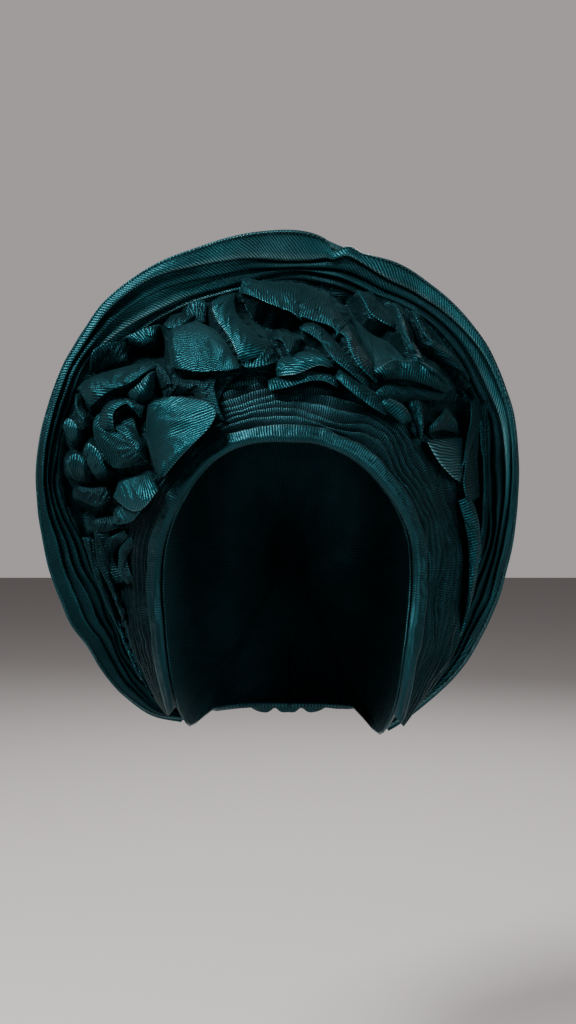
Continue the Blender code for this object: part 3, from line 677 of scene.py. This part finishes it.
under = fan_front(turns, (foot[0] + (edge[0] - foot[0]) * rows,
                          foot[1] + (edge[1] - foot[1]) * rows), -CLOTH)
back = place(turns, under[0], under[1])
# Colours of its own on the same satin, set for how brightly this part is lit: painted light and
# shade
fan_satin = satin("fan satin", (0.003, 0.017, 0.021), (0.018, 0.130, 0.152), 0.38, 0.6)
# Painted light and shade on the fan: a painted highlight on the rolled rim and at each fold's edge,
# shade at each fold's root, painted shade on the wall down to the crown, and each fold's painted
# tone by turn
glint_and_shade = np.concatenate([np.linspace(1, 0.6, RIM_ROWS),
                            np.tile(np.maximum(PLEAT_GLINT_AND_SHADE, -0.3), len(FAN_PAINTED_LIGHT))[1:],
                            np.full(FAN_WALL_ROWS, -1.0)])
fold_of = np.clip((np.arange(len(glint_and_shade)) - RIM_ROWS) // len(PLEAT_GLINT_AND_SHADE), 0, len(FAN_PAINTED_LIGHT) - 1)
fan_painted_light = np.stack([np.interp(turns[:, 0], FAN_PAINTED_LIGHT_TURNS, tones) for tones in FAN_PAINTED_LIGHT],
                     axis=1)
glint_and_shade = (glint_and_shade + fan_painted_light[:, fold_of])[:, ::-1]
fan = build_mesh("fan_front", *shell(front, back, 35, glint_and_shade), fan_satin)
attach(fan, "root")
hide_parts("fan_pleats")

# Fan back
# The same tail seen from behind: from the folded rim the cloth is gathered down to the crown,
# where all its fullness is drawn into close radiating pleats.
FAN_BACK_FOOT_DEPTH = 0.046
FAN_BACK_GATHERS = 24
FAN_BACK_GATHER_LIFT = 0.0032
FAN_BACK_FINE_LIFT = 0.0009
FAN_BACK_COLUMNS = 700
FAN_BACK_ROWS = 34

turns = np.linspace(LEFT_END, RIGHT_END, FAN_BACK_COLUMNS)[:, None]
share = np.linspace(0, 1, FAN_BACK_ROWS)[None, :]
start = fan_front(turns, rim(turns), -CLOTH - BAND_GAP)
waver = RIM_WAVER * crumple(turns, 0 * turns, 7.0, 35) * fan_size(turns)
start = (start[0] + waver - rim_notch(turns), start[1])
end = fan_foot(turns, FAN_BACK_FOOT_DEPTH)
normal = line_normal(end, start)
phase = np.radians(turns) * FAN_BACK_GATHERS + 1.6 * crumple(turns, share * 1.5, 16.0, 41)
swell = np.sin(share * np.pi)
wave = 1 - 2 * np.abs(np.sin(phase / 2)) ** 1.3
fine = crumple(turns + 1.5 * crumple(turns, share * 2, 5.0, 43), share * 1.2, 1.1, 42)
lift = FAN_BACK_GATHER_LIFT * (wave * swell ** 0.6 + 1.1 * swell)
lift = lift + FAN_BACK_FINE_LIFT * fine * swell ** 0.4 * (0.4 + share)
lift = lift * np.minimum(1, 0.15 + ring("reach", turns))
layers = []
for height in (0.0, OUTER_CLOTH):
    radius = start[0] + (end[0] - start[0]) * share - normal[0] * (lift + height)
    depth = start[1] + (end[1] - start[1]) * share - normal[1] * (lift + height)
    radius = np.maximum(radius, layer_radius(turns, depth, FIRST_LAYER + height))
    layers.append(place(turns, radius, depth))
# Colours of its own on the same satin, set for how brightly this part is lit: painted light and
# shade
back_satin = satin("fan back satin", (0.003, 0.016, 0.020), (0.026, 0.120, 0.138), 0.40, 0.7)
fan_behind = build_mesh("fan_behind", *shell(layers[1], layers[0]), back_satin)
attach(fan_behind, "root")
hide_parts("fan_back")

# Rosette and ruffles
# The loose upper edge of the cloth, crumpled by hand into soft petals and pinned in the trough
# between the brow and the fan: a rosette on the left, ruffles over the top and down the right.
RUFFLE_CLEARANCE = 0.0012
BROW_CLEAR = 0.0018
FAN_CLEAR = 0.0026
FOLD_HEIGHT = 0.026
TROUGH_SAG = 0.018
TROUGH_FULL = 0.040
RUFFLE_THICKNESS = 0.0009
PETAL_COLUMNS = 60
PETAL_ROWS = 20
ROLL_ROWS = 4
UNDER_ROWS = 4
RUFFLE_WEAVE = 0.80
# The sheet under the petals is painted dark by this tone: painted shade where the petals shade it
FLOOR_PAINTED_SHADE = -1.6
LIP_RADIUS = 0.0009
LIP_WAVER = 0.0009
UNDER_LENGTH = 0.008
UNDER_LOWEST = -0.002
SKIRT_REACH = 0.04
SKIRT_FLAT = 0.0015
SKIRT_DROP = 0.0060
SKIRT_SLOPE = 2.6

# The petals' places were picked in views of the photograph. A view has the X and Y of its
# corner in the photograph's pixels, and how much it is enlarged.
PHOTO_VIEWS = {"left": (40, 220, 6.03), "right": (280, 220, 6.03), "whole": (0, 0, 1)}
PHOTO_MIDDLE = (288, 512)
PICK_ROUNDS = 40

# A petal lies between its free lip, four places, and its root, three places. Each is an X and Y
# in the view named first, or, where that is "trough", a turn and a share of the trough from brow
# to fan. Then come the heights of lip and root and its bulge, as shares of FOLD_HEIGHT, the angle
# of its weave in degrees and its tone: painted shade below 0, where it lies in shade, and painted
# light above 0.
PETALS = {
    "rosette_petals": {
        "fold over the pleat ends": (
            "left", ((1075, 930), (1045, 1010), (1055, 1100), (1100, 1200)),
            ((930, 950), (930, 1040), (970, 1130)), 0.30, 0.22, 0.08, 0, -1.2),
        "dark crumple": (
            "left", ((735, 1030), (810, 965), (910, 975), (1050, 1000)),
            ((760, 1075), (880, 1050), (1010, 1070)), 0.36, 0.20, 0.06, 0, -1.6),
        "crumple by the pinch": (
            "left", ((690, 860), (740, 900), (780, 960), (790, 1010)),
            ((640, 900), (690, 960), (730, 1030)), 0.46, 0.30, 0.06, 0, -1.6),
        "petal over the brow": (
            "left", ((650, 1095), (850, 1068), (1055, 1180), (725, 1550)),
            ((648, 1120), (640, 1320), (705, 1540)), 0.62, 0.44, 0.22, -8, -0.1),
        "dome lower left": (
            "left", ((400, 1110), (325, 1260), (430, 1490), (640, 1450)),
            ((560, 1160), (600, 1290), (640, 1400)), 0.34, 0.46, 0.20, 35, -0.8),
        "curl round the pit": (
            "left", ((430, 1270), (440, 1150), (520, 1110), (600, 1180)),
            ((335, 1250), (410, 1100), (640, 1115)), 0.78, 0.46, 0.10, 0, -0.3),
        "fold in the curl": (
            "left", ((440, 1225), (500, 1300), (560, 1370), (610, 1430)),
            ((540, 1200), (600, 1290), (640, 1380)), 0.72, 0.50, 0.06, 0, -0.6),
        "bright fold above": (
            "left", ((510, 1060), (590, 1000), (640, 950), (680, 905)),
            ((610, 1120), (665, 1060), (695, 950)), 0.74, 0.42, 0.10, 0, 0.1),
        "long triangle": (
            "left", ((285, 1110), (410, 1030), (550, 965), (690, 880)),
            ((215, 1025), (340, 930), (690, 835)), 0.80, 0.46, 0.14, 25, -0.7),
        "flap at the rim": (
            "left", ((300, 900), (350, 800), (430, 750), (510, 738)),
            ((340, 930), (430, 880), (520, 850)), 0.50, 0.20, 0.05, 0, -1.2),
        "small bright flap": (
            "left", ((490, 715), (580, 680), (640, 650), (705, 635)),
            ((600, 770), (660, 745), (700, 720)), 0.50, 0.25, 0.08, 0, -0.2),
        "strip at the left": (
            "left", ((200, 1060), (215, 1130), (250, 1200), (270, 1240)),
            ((240, 1050), (265, 1120), (300, 1200)), 0.62, 0.35, 0.04, 0, -1.0),
        "bright tongue": (
            "left", ((130, 1240), (160, 1205), (205, 1240), (235, 1310)),
            ((150, 1290), (180, 1330), (220, 1370)), 0.56, 0.30, 0.08, 0, -0.3),
        "pale fold low": (
            "left", ((260, 1380), (290, 1345), (345, 1400), (395, 1510)),
            ((280, 1450), (310, 1520), (350, 1568)), 0.66, 0.35, 0.10, 0, -0.3),
        "loop at the left": (
            "left", ((150, 1480), (190, 1425), (240, 1430), (290, 1500)),
            ((170, 1540), (220, 1568), (280, 1580)), 0.56, 0.28, 0.08, 0, -0.8),
        "low hem": (
            "whole", ((112, 499), (126, 507), (144, 506), (157, 490)),
            ((118, 482), (134, 475), (150, 472)), 0.50, 0.36, 0.12, 0, 0.0),
        "dark fold by the hem": (
            "whole", ((72, 492), (84, 502), (97, 504), (110, 498)),
            ((76, 484), (90, 488), (106, 486)), 0.36, 0.28, 0.06, 0, -1.6),
        "lowest fold": (
            "whole", ((113, 521), (121, 525), (132, 520), (143, 507)),
            ((114, 508), (127, 505), (141, 498)), 0.40, 0.26, 0.08, 0, -0.6),
        "thin hem below": (
            "whole", ((88, 529), (98, 530), (108, 529), (118, 526)),
            ((90, 521), (102, 519), (114, 516)), 0.28, 0.16, 0.03, 0, -1.4),
    },
    "top_ruffle": {
        "ribbed petal": (
            "left", ((790, 885), (900, 905), (1060, 905), (1200, 875)),
            ((740, 640), (900, 590), (1120, 680)), 0.66, 0.50, 0.26, 80, -0.5),
        "rough crumple": (
            "left", ((740, 620), (790, 640), (860, 625), (920, 600)),
            ((780, 570), (900, 560), (980, 560)), 0.62, 0.40, 0.10, 0, -1.1),
        "small loop": (
            "left", ((890, 590), (900, 510), (970, 490), (1030, 530)),
            ((930, 640), (970, 620), (1020, 620)), 0.66, 0.40, 0.08, 0, -0.9),
        "strip from the pinch": (
            "left", ((1040, 470), (1060, 570), (1150, 700), (1215, 840)),
            ((1185, 420), (1190, 580), (1420, 800)), 0.92, 0.62, 0.14, 0, -0.1),
        "foot of the strip": (
            "left", ((1200, 850), (1260, 880), (1340, 870), (1420, 840)),
            ((1220, 780), (1300, 760), (1400, 740)), 0.50, 0.60, 0.08, 0, -0.6),
        "top band": (
            "right", ((-240, 410), (-110, 470), (30, 530), (150, 590)),
            ((-230, 360), (-60, 375), (160, 380)), 0.80, 0.44, 0.12, 0, -0.5),
        "outer band": (
            "right", ((40, 540), (200, 600), (320, 650), (340, 720)),
            ((150, 380), (300, 480), (460, 720)), 0.74, 0.50, 0.14, 0, -0.9),
        "outer band end": (
            "right", ((330, 640), (400, 700), (450, 820), (580, 960)),
            ((400, 600), (480, 760), (600, 900)), 0.84, 0.60, 0.10, 0, -0.9),
        "inner band": (
            "right", ((130, 640), (240, 720), (330, 850), (520, 1000)),
            ((180, 560), (310, 690), (560, 970)), 0.66, 0.50, 0.10, 0, -0.9),
        "bright triangle": (
            "right", ((-20, 930), (100, 915), (221, 863), (332, 886)),
            ((-30, 850), (110, 795), (320, 822)), 0.48, 0.34, 0.10, 60, 0.0),
        "curl at the middle": (
            "right", ((-30, 700), (20, 740), (40, 790), (90, 770)),
            ((-60, 680), (20, 680), (110, 720)), 0.60, 0.40, 0.05, 0, -0.9),
        "line over the pleats": (
            "right", ((-60, 1020), (86, 989), (236, 965), (352, 999)),
            ((-66, 958), (110, 914), (340, 923)), 0.30, 0.16, 0.04, 0, -0.5),
        "tail along the pleats": (
            "right", ((340, 950), (430, 1030), (520, 1090), (640, 1170)),
            ((360, 890), (480, 980), (660, 1090)), 0.50, 0.40, 0.08, 0, -0.6),
        "thin ridge": (
            "right", ((480, 420), (530, 520), (610, 605), (745, 655)),
            ((560, 430), (620, 520), (740, 590)), 0.72, 0.46, 0.06, 0, -1.0),
        "scoop wall": (
            "right", ((560, 890), (620, 890), (700, 870), (780, 850)),
            ((430, 560), (560, 690), (720, 760)), 0.66, 0.10, -0.14, 20, -0.8),
        "long ridge": (
            "right", ((702, 488), (732, 576), (790, 730), (860, 860)),
            ((663, 516), (684, 616), (760, 840)), 0.95, 0.50, 0.10, 0, -0.6),
    },
    "right_ruffle": {
        "rim of the scoop": (
            "right", ((560, 905), (700, 850), (850, 865), (1040, 1000)),
            ((600, 960), (760, 960), (1000, 1030)), 0.88, 0.60, 0.10, 0, -0.4),
        "ridge tail": (
            "right", ((790, 700), (850, 830), (950, 920), (1050, 1000)),
            ((770, 760), (800, 860), (940, 960)), 0.95, 0.70, 0.06, 0, -0.6),
        "rear fold": (
            "right", ((798, 535), (834, 613), (880, 700), (960, 760)),
            ((857, 572), (875, 618), (926, 707)), 0.76, 0.40, 0.08, 0, -0.9),
        "rear fold tail": (
            "right", ((880, 690), (960, 760), (1060, 840), (1150, 945)),
            ((830, 720), (940, 830), (1130, 960)), 0.74, 0.50, 0.08, 0, -0.9),
        "lower line": (
            "right", ((560, 1060), (640, 1010), (760, 1015), (1000, 1035)),
            ((600, 1130), (740, 1100), (960, 1080)), 0.50, 0.30, 0.08, 0, -0.7),
        "bright patch": (
            "right", ((610, 1070), (680, 1090), (740, 1130), (800, 1200)),
            ((590, 1120), (650, 1160), (740, 1230)), 0.46, 0.34, 0.06, 0, 0.1),
        "thin curl": (
            "right", ((770, 1110), (840, 1095), (865, 1180), (855, 1300)),
            ((780, 1160), (800, 1200), (820, 1300)), 0.46, 0.20, 0.03, 0, -0.5),
        "small peak": (
            "right", ((900, 1260), (960, 1180), (1010, 1150), (1070, 1220)),
            ((900, 1290), (980, 1270), (1080, 1280)), 0.52, 0.26, 0.08, 0, -0.6),
        "sheer flap": (
            "right", ((890, 1320), (960, 1440), (1040, 1530), (1110, 1590)),
            ((1130, 1310), (1130, 1420), (1130, 1560)), 0.34, 0.26, 0.03, -15, 0.4),
        "upright ridge": (
            "right", ((1160, 1080), (1160, 1200), (1130, 1330), (1110, 1500)),
            ((1200, 1080), (1210, 1200), (1180, 1480)), 0.50, 0.20, 0.06, 0, -0.9),
        "upper roll at the right": (
            "whole", ((466, 440), (466, 462), (464, 482), (468, 503)),
            ((476, 440), (478, 470), (480, 498)), 0.40, 0.16, 0.05, 0, -0.9),
        "rolled fold down the right": (
            "trough", ((68, 0.22), (78, 0.52), (90, 0.56), (108, 0.46)),
            ((68, -0.12), (84, -0.06), (106, -0.02)), 0.50, 0.24, 0.12, 0, 0.0),
        "inner fold down the right": (
            "trough", ((50, 1.02), (66, 0.84), (86, 0.66), (112, 0.58)),
            ((50, 1.24), (80, 1.08), (112, 1)), 0.32, 0.12, 0.06, 0, -1.0),
    },
    "left_gather": {
        "edge in the left trough": (
            "whole", ((124, 531), (106, 542), (105, 562), (117, 586)),
            ((128, 536), (114, 556), (124, 582)), 0.22, 0.10, 0.02, 0, -1.3),
        "inner edge in the left trough": (
            "whole", ((131, 538), (121, 549), (119, 568), (127, 586)),
            ((135, 545), (127, 560), (133, 582)), 0.20, 0.08, 0.02, 0, -1.3),
        "wave down the left": (
            "trough", ((-78, 0.5), (-88, 0.62), (-98, 0.4), (-108, 0.1)),
            ((-78, 0.2), (-92, 0.3), (-106, -0.1)), 0.34, 0.18, 0.06, 0, -1.8),
        "outer wave down the left": (
            "trough", ((-82, 0.88), (-98, 0.96), (-114, 0.8), (-128, 0.5)),
            ((-82, 0.6), (-104, 0.66), (-126, 0.25)), 0.30, 0.14, 0.06, 0, -1.3),
    },
}


def trough_line(turn):
    """The trough at a turn: inner and outer radius and depth of the line from the brow's edge to
    the fan's innermost fold, and the slope of the brow's front inside it."""
    clear = BROW_CLEAR + RUFFLE_CLEARANCE
    start = brow_place(turn, 0.0, clear)
    inner = brow_place(turn, 1.0, clear)
    fold = fan_front(turn, fan_fold(turn, ring("fourth", turn)), FAN_CLEAR * fan_size(turn))
    slope = (inner[1] - start[1]) / (inner[0] - start[0])
    return inner, (fold[0] - LAYER_GAP, fold[1]), slope


def trough_view(turn, across):
    """X and Z of places in the trough."""
    inner, outer, _ = trough_line(turn)
    radius = inner[0] + (outer[0] - inner[0]) * across
    angle = np.radians(turn)
    return np.stack([radius * np.sin(angle), FACE_Z + radius * np.cos(angle)], axis=-1)


def trough_place(view, most):
    """Turn and share across of places of the front view, the depth of the trough's line there,
    which keeps its last depth beyond the most share, and how far the fan's folds rise past it."""
    turn = np.degrees(np.arctan2(view[..., 0], view[..., 1] - FACE_Z))
    radius = np.hypot(view[..., 0], view[..., 1] - FACE_Z)
    inner, outer, slope = trough_line(turn)
    across = (radius - inner[0]) / (outer[0] - inner[0])
    over_brow = inner[1] + (radius - inner[0]) * slope - BROW_BULGE * np.clip(-6 * across, 0, 1)
    over_fan = np.maximum(radius - outer[0], 0) * FAN_PLEAT_RISE / FAN_PLEAT_ZONE
    to_fan = inner[1] + (outer[1] - inner[1]) * np.minimum(across, most)
    return turn, across, np.where(across < 0, over_brow, to_fan), over_fan


def trough_depth(view):
    """Depth of the trough's line at places of the front view, over the fan's folds beyond it."""
    _, across, depth, over_fan = trough_place(view, 1)
    return np.where(across < 0, depth, depth - over_fan)


def picked(view, places, height):
    """X and Z of picked places, on cloth at a height over the trough's line. A place in the
    photograph is put at a depth, the line's depth is read there, and so on until both settle.
    Its turn and share are then kept to a whole degree and a hundredth."""
    places = np.array(places, dtype=float)
    if view == "trough":
        return trough_view(places[:, 0], places[:, 1])
    corner_x, corner_y, enlarged = PHOTO_VIEWS[view]
    pixels = places / enlarged + (corner_x, corner_y)
    offset = (pixels - PHOTO_MIDDLE) * (1, -1) / FOCAL_PIXELS
    depth = np.zeros(len(places))
    for _ in range(PICK_ROUNDS):
        spots = offset * (CAMERA_DISTANCE + depth)[:, None] + (0, CAMERA_HEIGHT)
        turn, across, line_depth, _ = trough_place(spots, np.inf)
        depth = line_depth - height
    return trough_view(np.round(turn), np.round(across, 2))


def curve_through(points, steps):
    """Points of a Catmull-Rom curve through the rows of points, its ends run on straight."""
    points = np.concatenate([2 * points[:1] - points[1:2], points, 2 * points[-1:] - points[-2:-1]])
    at = np.linspace(0, len(points) - 3, steps)
    i = np.minimum(at.astype(int), len(points) - 4)
    t = (at - i)[:, None]
    a, b, c, d = points[i], points[i + 1], points[i + 2], points[i + 3]
    return 0.5 * (2 * b + (c - a) * t + (2 * a - 5 * b + 4 * c - d) * t ** 2
                  + (3 * b - a - 3 * c + d) * t ** 3)


def petal(row, seed):
    """Front grid of one petal: from its root it rises by a quarter sine to its lip, with a half
    sine of bulge, rolls over the lip in a half circle and runs back under itself."""
    view, lip_places, root_places, lip_height, root_height, bulge, _, _ = row
    lip = curve_through(picked(view, lip_places, FOLD_HEIGHT * lip_height), PETAL_COLUMNS)
    root = curve_through(picked(view, root_places, FOLD_HEIGHT * root_height), PETAL_COLUMNS)
    run = np.linspace(0, 1, PETAL_COLUMNS)[:, None]
    length = np.linalg.norm(np.diff(lip, axis=0), axis=-1).sum()
    wide = np.linalg.norm(lip - root, axis=-1, keepdims=True)
    out = (lip - root) / np.maximum(wide, 0.002)
    ends = 1 - 0.45 * np.abs(2 * run - 1) ** 5
    waver = crumple(run * length, 0 * run + seed * 0.05, 0.008, 71)
    lip = lip + out * LIP_WAVER * waver[..., None][:, 0]
    top = 1 + 0.09 * crumple(run * length, 0 * run + seed, 0.011, 72)
    top = top + 0.05 * crumple(run * length, 0 * run + seed, 0.004, 76)
    top = FOLD_HEIGHT * lip_height * ends * top
    low = FOLD_HEIGHT * root_height * ends
    share = np.linspace(0, 1, PETAL_ROWS)[None, :]
    rise = low + (top - low) * (0.5 * share + 0.5 * np.sin(share * np.pi / 2))
    rise = rise + 0.6 * FOLD_HEIGHT * bulge * np.sin(np.pi * share ** 0.9) * ends
    slant = (run + 0.35 * share * (1 - 2 * (seed % 2))) * length
    drawn = crumple(slant, share * wide * 0.35 + seed, 0.0065, 73)
    pull = 1 - np.abs(crumple(slant * 1.3, share * wide * 0.3 + seed, 0.0045, 75))
    fine = crumple(run * length * 0.8, share * wide * 1.2 + seed, 0.0024, 74)
    middle = np.sin(np.pi * share ** 1.5)
    rise = rise + (0.0013 * drawn + 0.0014 * pull ** 4 + 0.0004 * fine) * middle * np.minimum(
        1, wide / 0.008)
    face = root[:, None, :] + (lip - root)[:, None, :] * share[..., None]
    angle = np.linspace(0, np.pi, ROLL_ROWS + 1)[None, 1:]
    roll = lip[:, None, :] + out[:, None, :] * (LIP_RADIUS * np.sin(angle))[..., None]
    roll_rise = top - LIP_RADIUS * (1 - np.cos(angle))
    under = np.linspace(0, 1, UNDER_ROWS + 1)[None, 1:]
    back_run = np.minimum(wide * 0.5, UNDER_LENGTH) * under
    below = lip[:, None, :] - out[:, None, :] * back_run[..., None]
    below_rise = top - 2 * LIP_RADIUS - (0.004 + 0.5 * np.maximum(top - low, 0)) * under ** 1.5
    below_rise = np.maximum(below_rise, UNDER_LOWEST)
    view = np.concatenate([face, roll, below], axis=1)
    height = np.concatenate([rise, roll_rise, below_rise], axis=1)
    front = np.stack([view[..., 0], trough_depth(view) - height, view[..., 1]], axis=-1)
    if grid_normals(front)[:, :PETAL_ROWS, 1].mean() > 0:
        front = front[::-1]
    return front


def grid_normals(points):
    """Unit normals of a grid of points, to the front: the cross product of its two runs."""
    normals = np.cross(np.gradient(points, axis=0), np.gradient(points, axis=1))
    return normals / np.maximum(np.linalg.norm(normals, axis=-1, keepdims=True), 1e-12)


def skirt_height(spots, petals):
    """Height of the cloth under the petals: the highest of the petals' faces, each let down by a
    drop and falling off around it by a slope times the distance."""
    height = np.full(spots.shape[:-1], -1.0)
    for front in petals:
        face = front[::5, :PETAL_ROWS:3].reshape(-1, 3)
        rise = trough_depth(face[:, ::2]) - face[:, 1]
        near = np.abs(spots - face[:, ::2].mean(axis=0)).max(axis=-1) < SKIRT_REACH
        gap = spots[near][:, None, :] - face[:, ::2]
        gap = np.maximum(np.linalg.norm(gap, axis=-1) - SKIRT_FLAT, 0)
        height[near] = np.maximum(height[near],
                                  (rise - SKIRT_DROP - SKIRT_SLOPE * gap).max(axis=-1))
    return height


def ruffle_floor(brow_ends, fan_ends, columns, rows, inner, outer, petals):
    """Sheet under the petals between two turns at the brow and at the fan, from a share inside
    the brow's edge to one beyond the fan's innermost fold, sagging into the trough between the
    petals, with fine creases over it."""
    along = np.linspace(0, 1, columns)[:, None]
    share = np.linspace(0, 1, rows)[None, :]
    lean = np.clip(share * 1.4 - 0.2, 0, 1)
    left = brow_ends[0] + (fan_ends[0] - brow_ends[0]) * lean
    right = brow_ends[1] + (fan_ends[1] - brow_ends[1]) * lean
    turn = left + (right - left) * along
    lap = inner * ring("lap", turn) / 0.36
    across = -lap + (outer + lap) * share
    view = trough_view(turn, across)
    wander = np.stack([crumple(view[..., 0], view[..., 1], 0.009, 51),
                       crumple(view[..., 0], view[..., 1], 0.009, 52)], axis=-1)
    reach = np.linalg.norm(view[:, -1] - view[:, 0], axis=-1)[:, None]
    room = np.clip(reach / TROUGH_FULL, 0.1, 1)
    floor_height = -TROUGH_SAG * room * np.sin(np.pi * np.clip(across, 0, 1)) ** 0.8
    floor_height = floor_height + 0.0030 * room * crumple(view[..., 0], view[..., 1], 0.012, 57)
    crease = 1 - np.abs(crumple(view[..., 0] + view[..., 1] * 0.4, view[..., 1], 0.008, 55))
    floor_height = floor_height + 0.0016 * room * crease ** 3
    height = np.maximum(floor_height, skirt_height(view + 0.0015 * wander, petals))
    hem = np.clip(np.sin(np.pi * np.clip(share, 0.01, 0.99)) * 3, 0, 1) ** 0.6
    height = height * hem
    return np.stack([view[..., 0], trough_depth(view) - height, view[..., 1]], axis=-1)


# Painted light on every petal, by row: a painted highlight over the lip's roll, painted shade
# towards the root and on the cloth run back under the lip
up_face = np.linspace(0, 1, PETAL_ROWS)
lip_glint_and_shade = np.concatenate([(0.8 * up_face) ** 12 - 0.7 * (1 - up_face) ** 2,
                           np.linspace(0.9, 0.3, ROLL_ROWS), np.full(UNDER_ROWS, -1.5)])[None, :]
# Colours of its own on the same satin, set for how brightly this part is lit: painted light and
# shade
ruffle_satin = satin("ruffle satin", (0.002, 0.011, 0.014), (0.015, 0.145, 0.175), 0.40, 1.0)
# Name, node, turns of its ends at the brow and at the fan, columns and rows of its floor, reach
# inside the brow's edge and towards the fan, the floor's weave angle, and its cut size
RUFFLES = (
    ("left_gather", "gather_left", (-134, -75), (-134, -75), 120, 34, 0.00, 1.00, 20, 0.12, 0.05),
    ("rosette_petals", "rosette", (-77, -23), (-77, -32), 130, 100, 0.36, 1.04, 50, 0.22, 0.16),
    ("top_ruffle", "ruffle_top", (-25, 34), (-34, 34), 130, 90, 0.36, 1.06, 75, 0.22, 0.16),
    ("right_ruffle", "ruffle_right", (32, 122), (32, 122), 180, 56, 0.30, 1.06, 110, 0.22, 0.12),
)
all_petals = {name: [petal(row, seed) for seed, row in enumerate(rows.values())]
              for name, rows in PETALS.items()}
every_petal = [grid for grids in all_petals.values() for grid in grids]
for name, node, brow_ends, fan_ends, columns, rows, inner, outer, bias, wide, long in RUFFLES:
    grids = [ruffle_floor(brow_ends, fan_ends, columns, rows, inner, outer, every_petal)]
    grids += all_petals[name]
    angles = [bias] + [angle for *_, angle, _ in PETALS[name].values()]
    # Painted shade on the sheet under the petals, and each petal's painted light and shade
    edges = [FLOOR_PAINTED_SHADE] + [lip_glint_and_shade + tone for *_, tone in PETALS[name].values()]
    shells = [shell(grid, grid - grid_normals(grid) * RUFFLE_THICKNESS, angle, edge)
              for grid, angle, edge in zip(grids, angles, edges)]
    starts = np.cumsum([0] + [len(parts[0]) for parts in shells[:-1]])
    points, quads, weave, fold = [list(parts) for parts in zip(*shells)]
    quads = [faces + start for faces, start in zip(quads, starts)]
    weave = [RUFFLE_WEAVE * corners for corners in weave]
    sheet = build_mesh(name, *(np.concatenate(parts) for parts in (points, quads, weave, fold)),
                       ruffle_satin)
    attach(sheet, "root")
    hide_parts(node)

# Nape tie
# The ends of the cloth are crossed low on the back of the head and tucked into a flat knot.
TIE_TURN = 17.0
TIE_FRONT_DEPTH = 0.074
TIE_BACK_DEPTH = 0.093
TIE_THICKNESS = 0.008
TIE_COLUMNS = 90
TIE_ROWS = 44

along = np.linspace(-1, 1, TIE_COLUMNS)[:, None]
share = np.linspace(-1, 1, TIE_ROWS)[None, :]
pinch = 0.62 + 0.38 * np.abs(along)
middle = (TIE_FRONT_DEPTH + TIE_BACK_DEPTH) / 2
depth = middle + (TIE_BACK_DEPTH - TIE_FRONT_DEPTH) / 2 * share * pinch
turn = 180 + TIE_TURN * along + 0 * share
swell = (1 - np.abs(along) ** 4) * (1 - share ** 4)
knot = 1 - 0.5 * np.exp(-((np.abs(along) - 0.3) / 0.1) ** 2)
fanned = share * 11 * (0.6 + 0.4 * np.abs(along))
rays = 0.0005 * np.cos(fanned + 3 * crumple(along, share, 0.5, 61))
height = CLOTH + (TIE_THICKNESS - CLOTH) * swell * knot + rays * swell
front = place(turn, layer_radius(turn, depth, FIRST_LAYER + height), depth)
back = place(turn, layer_radius(turn, depth, FIRST_LAYER), depth)
tie = build_mesh("nape_knot", *shell(front, back), crown_satin)
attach(tie, "root")
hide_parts("nape_tie")
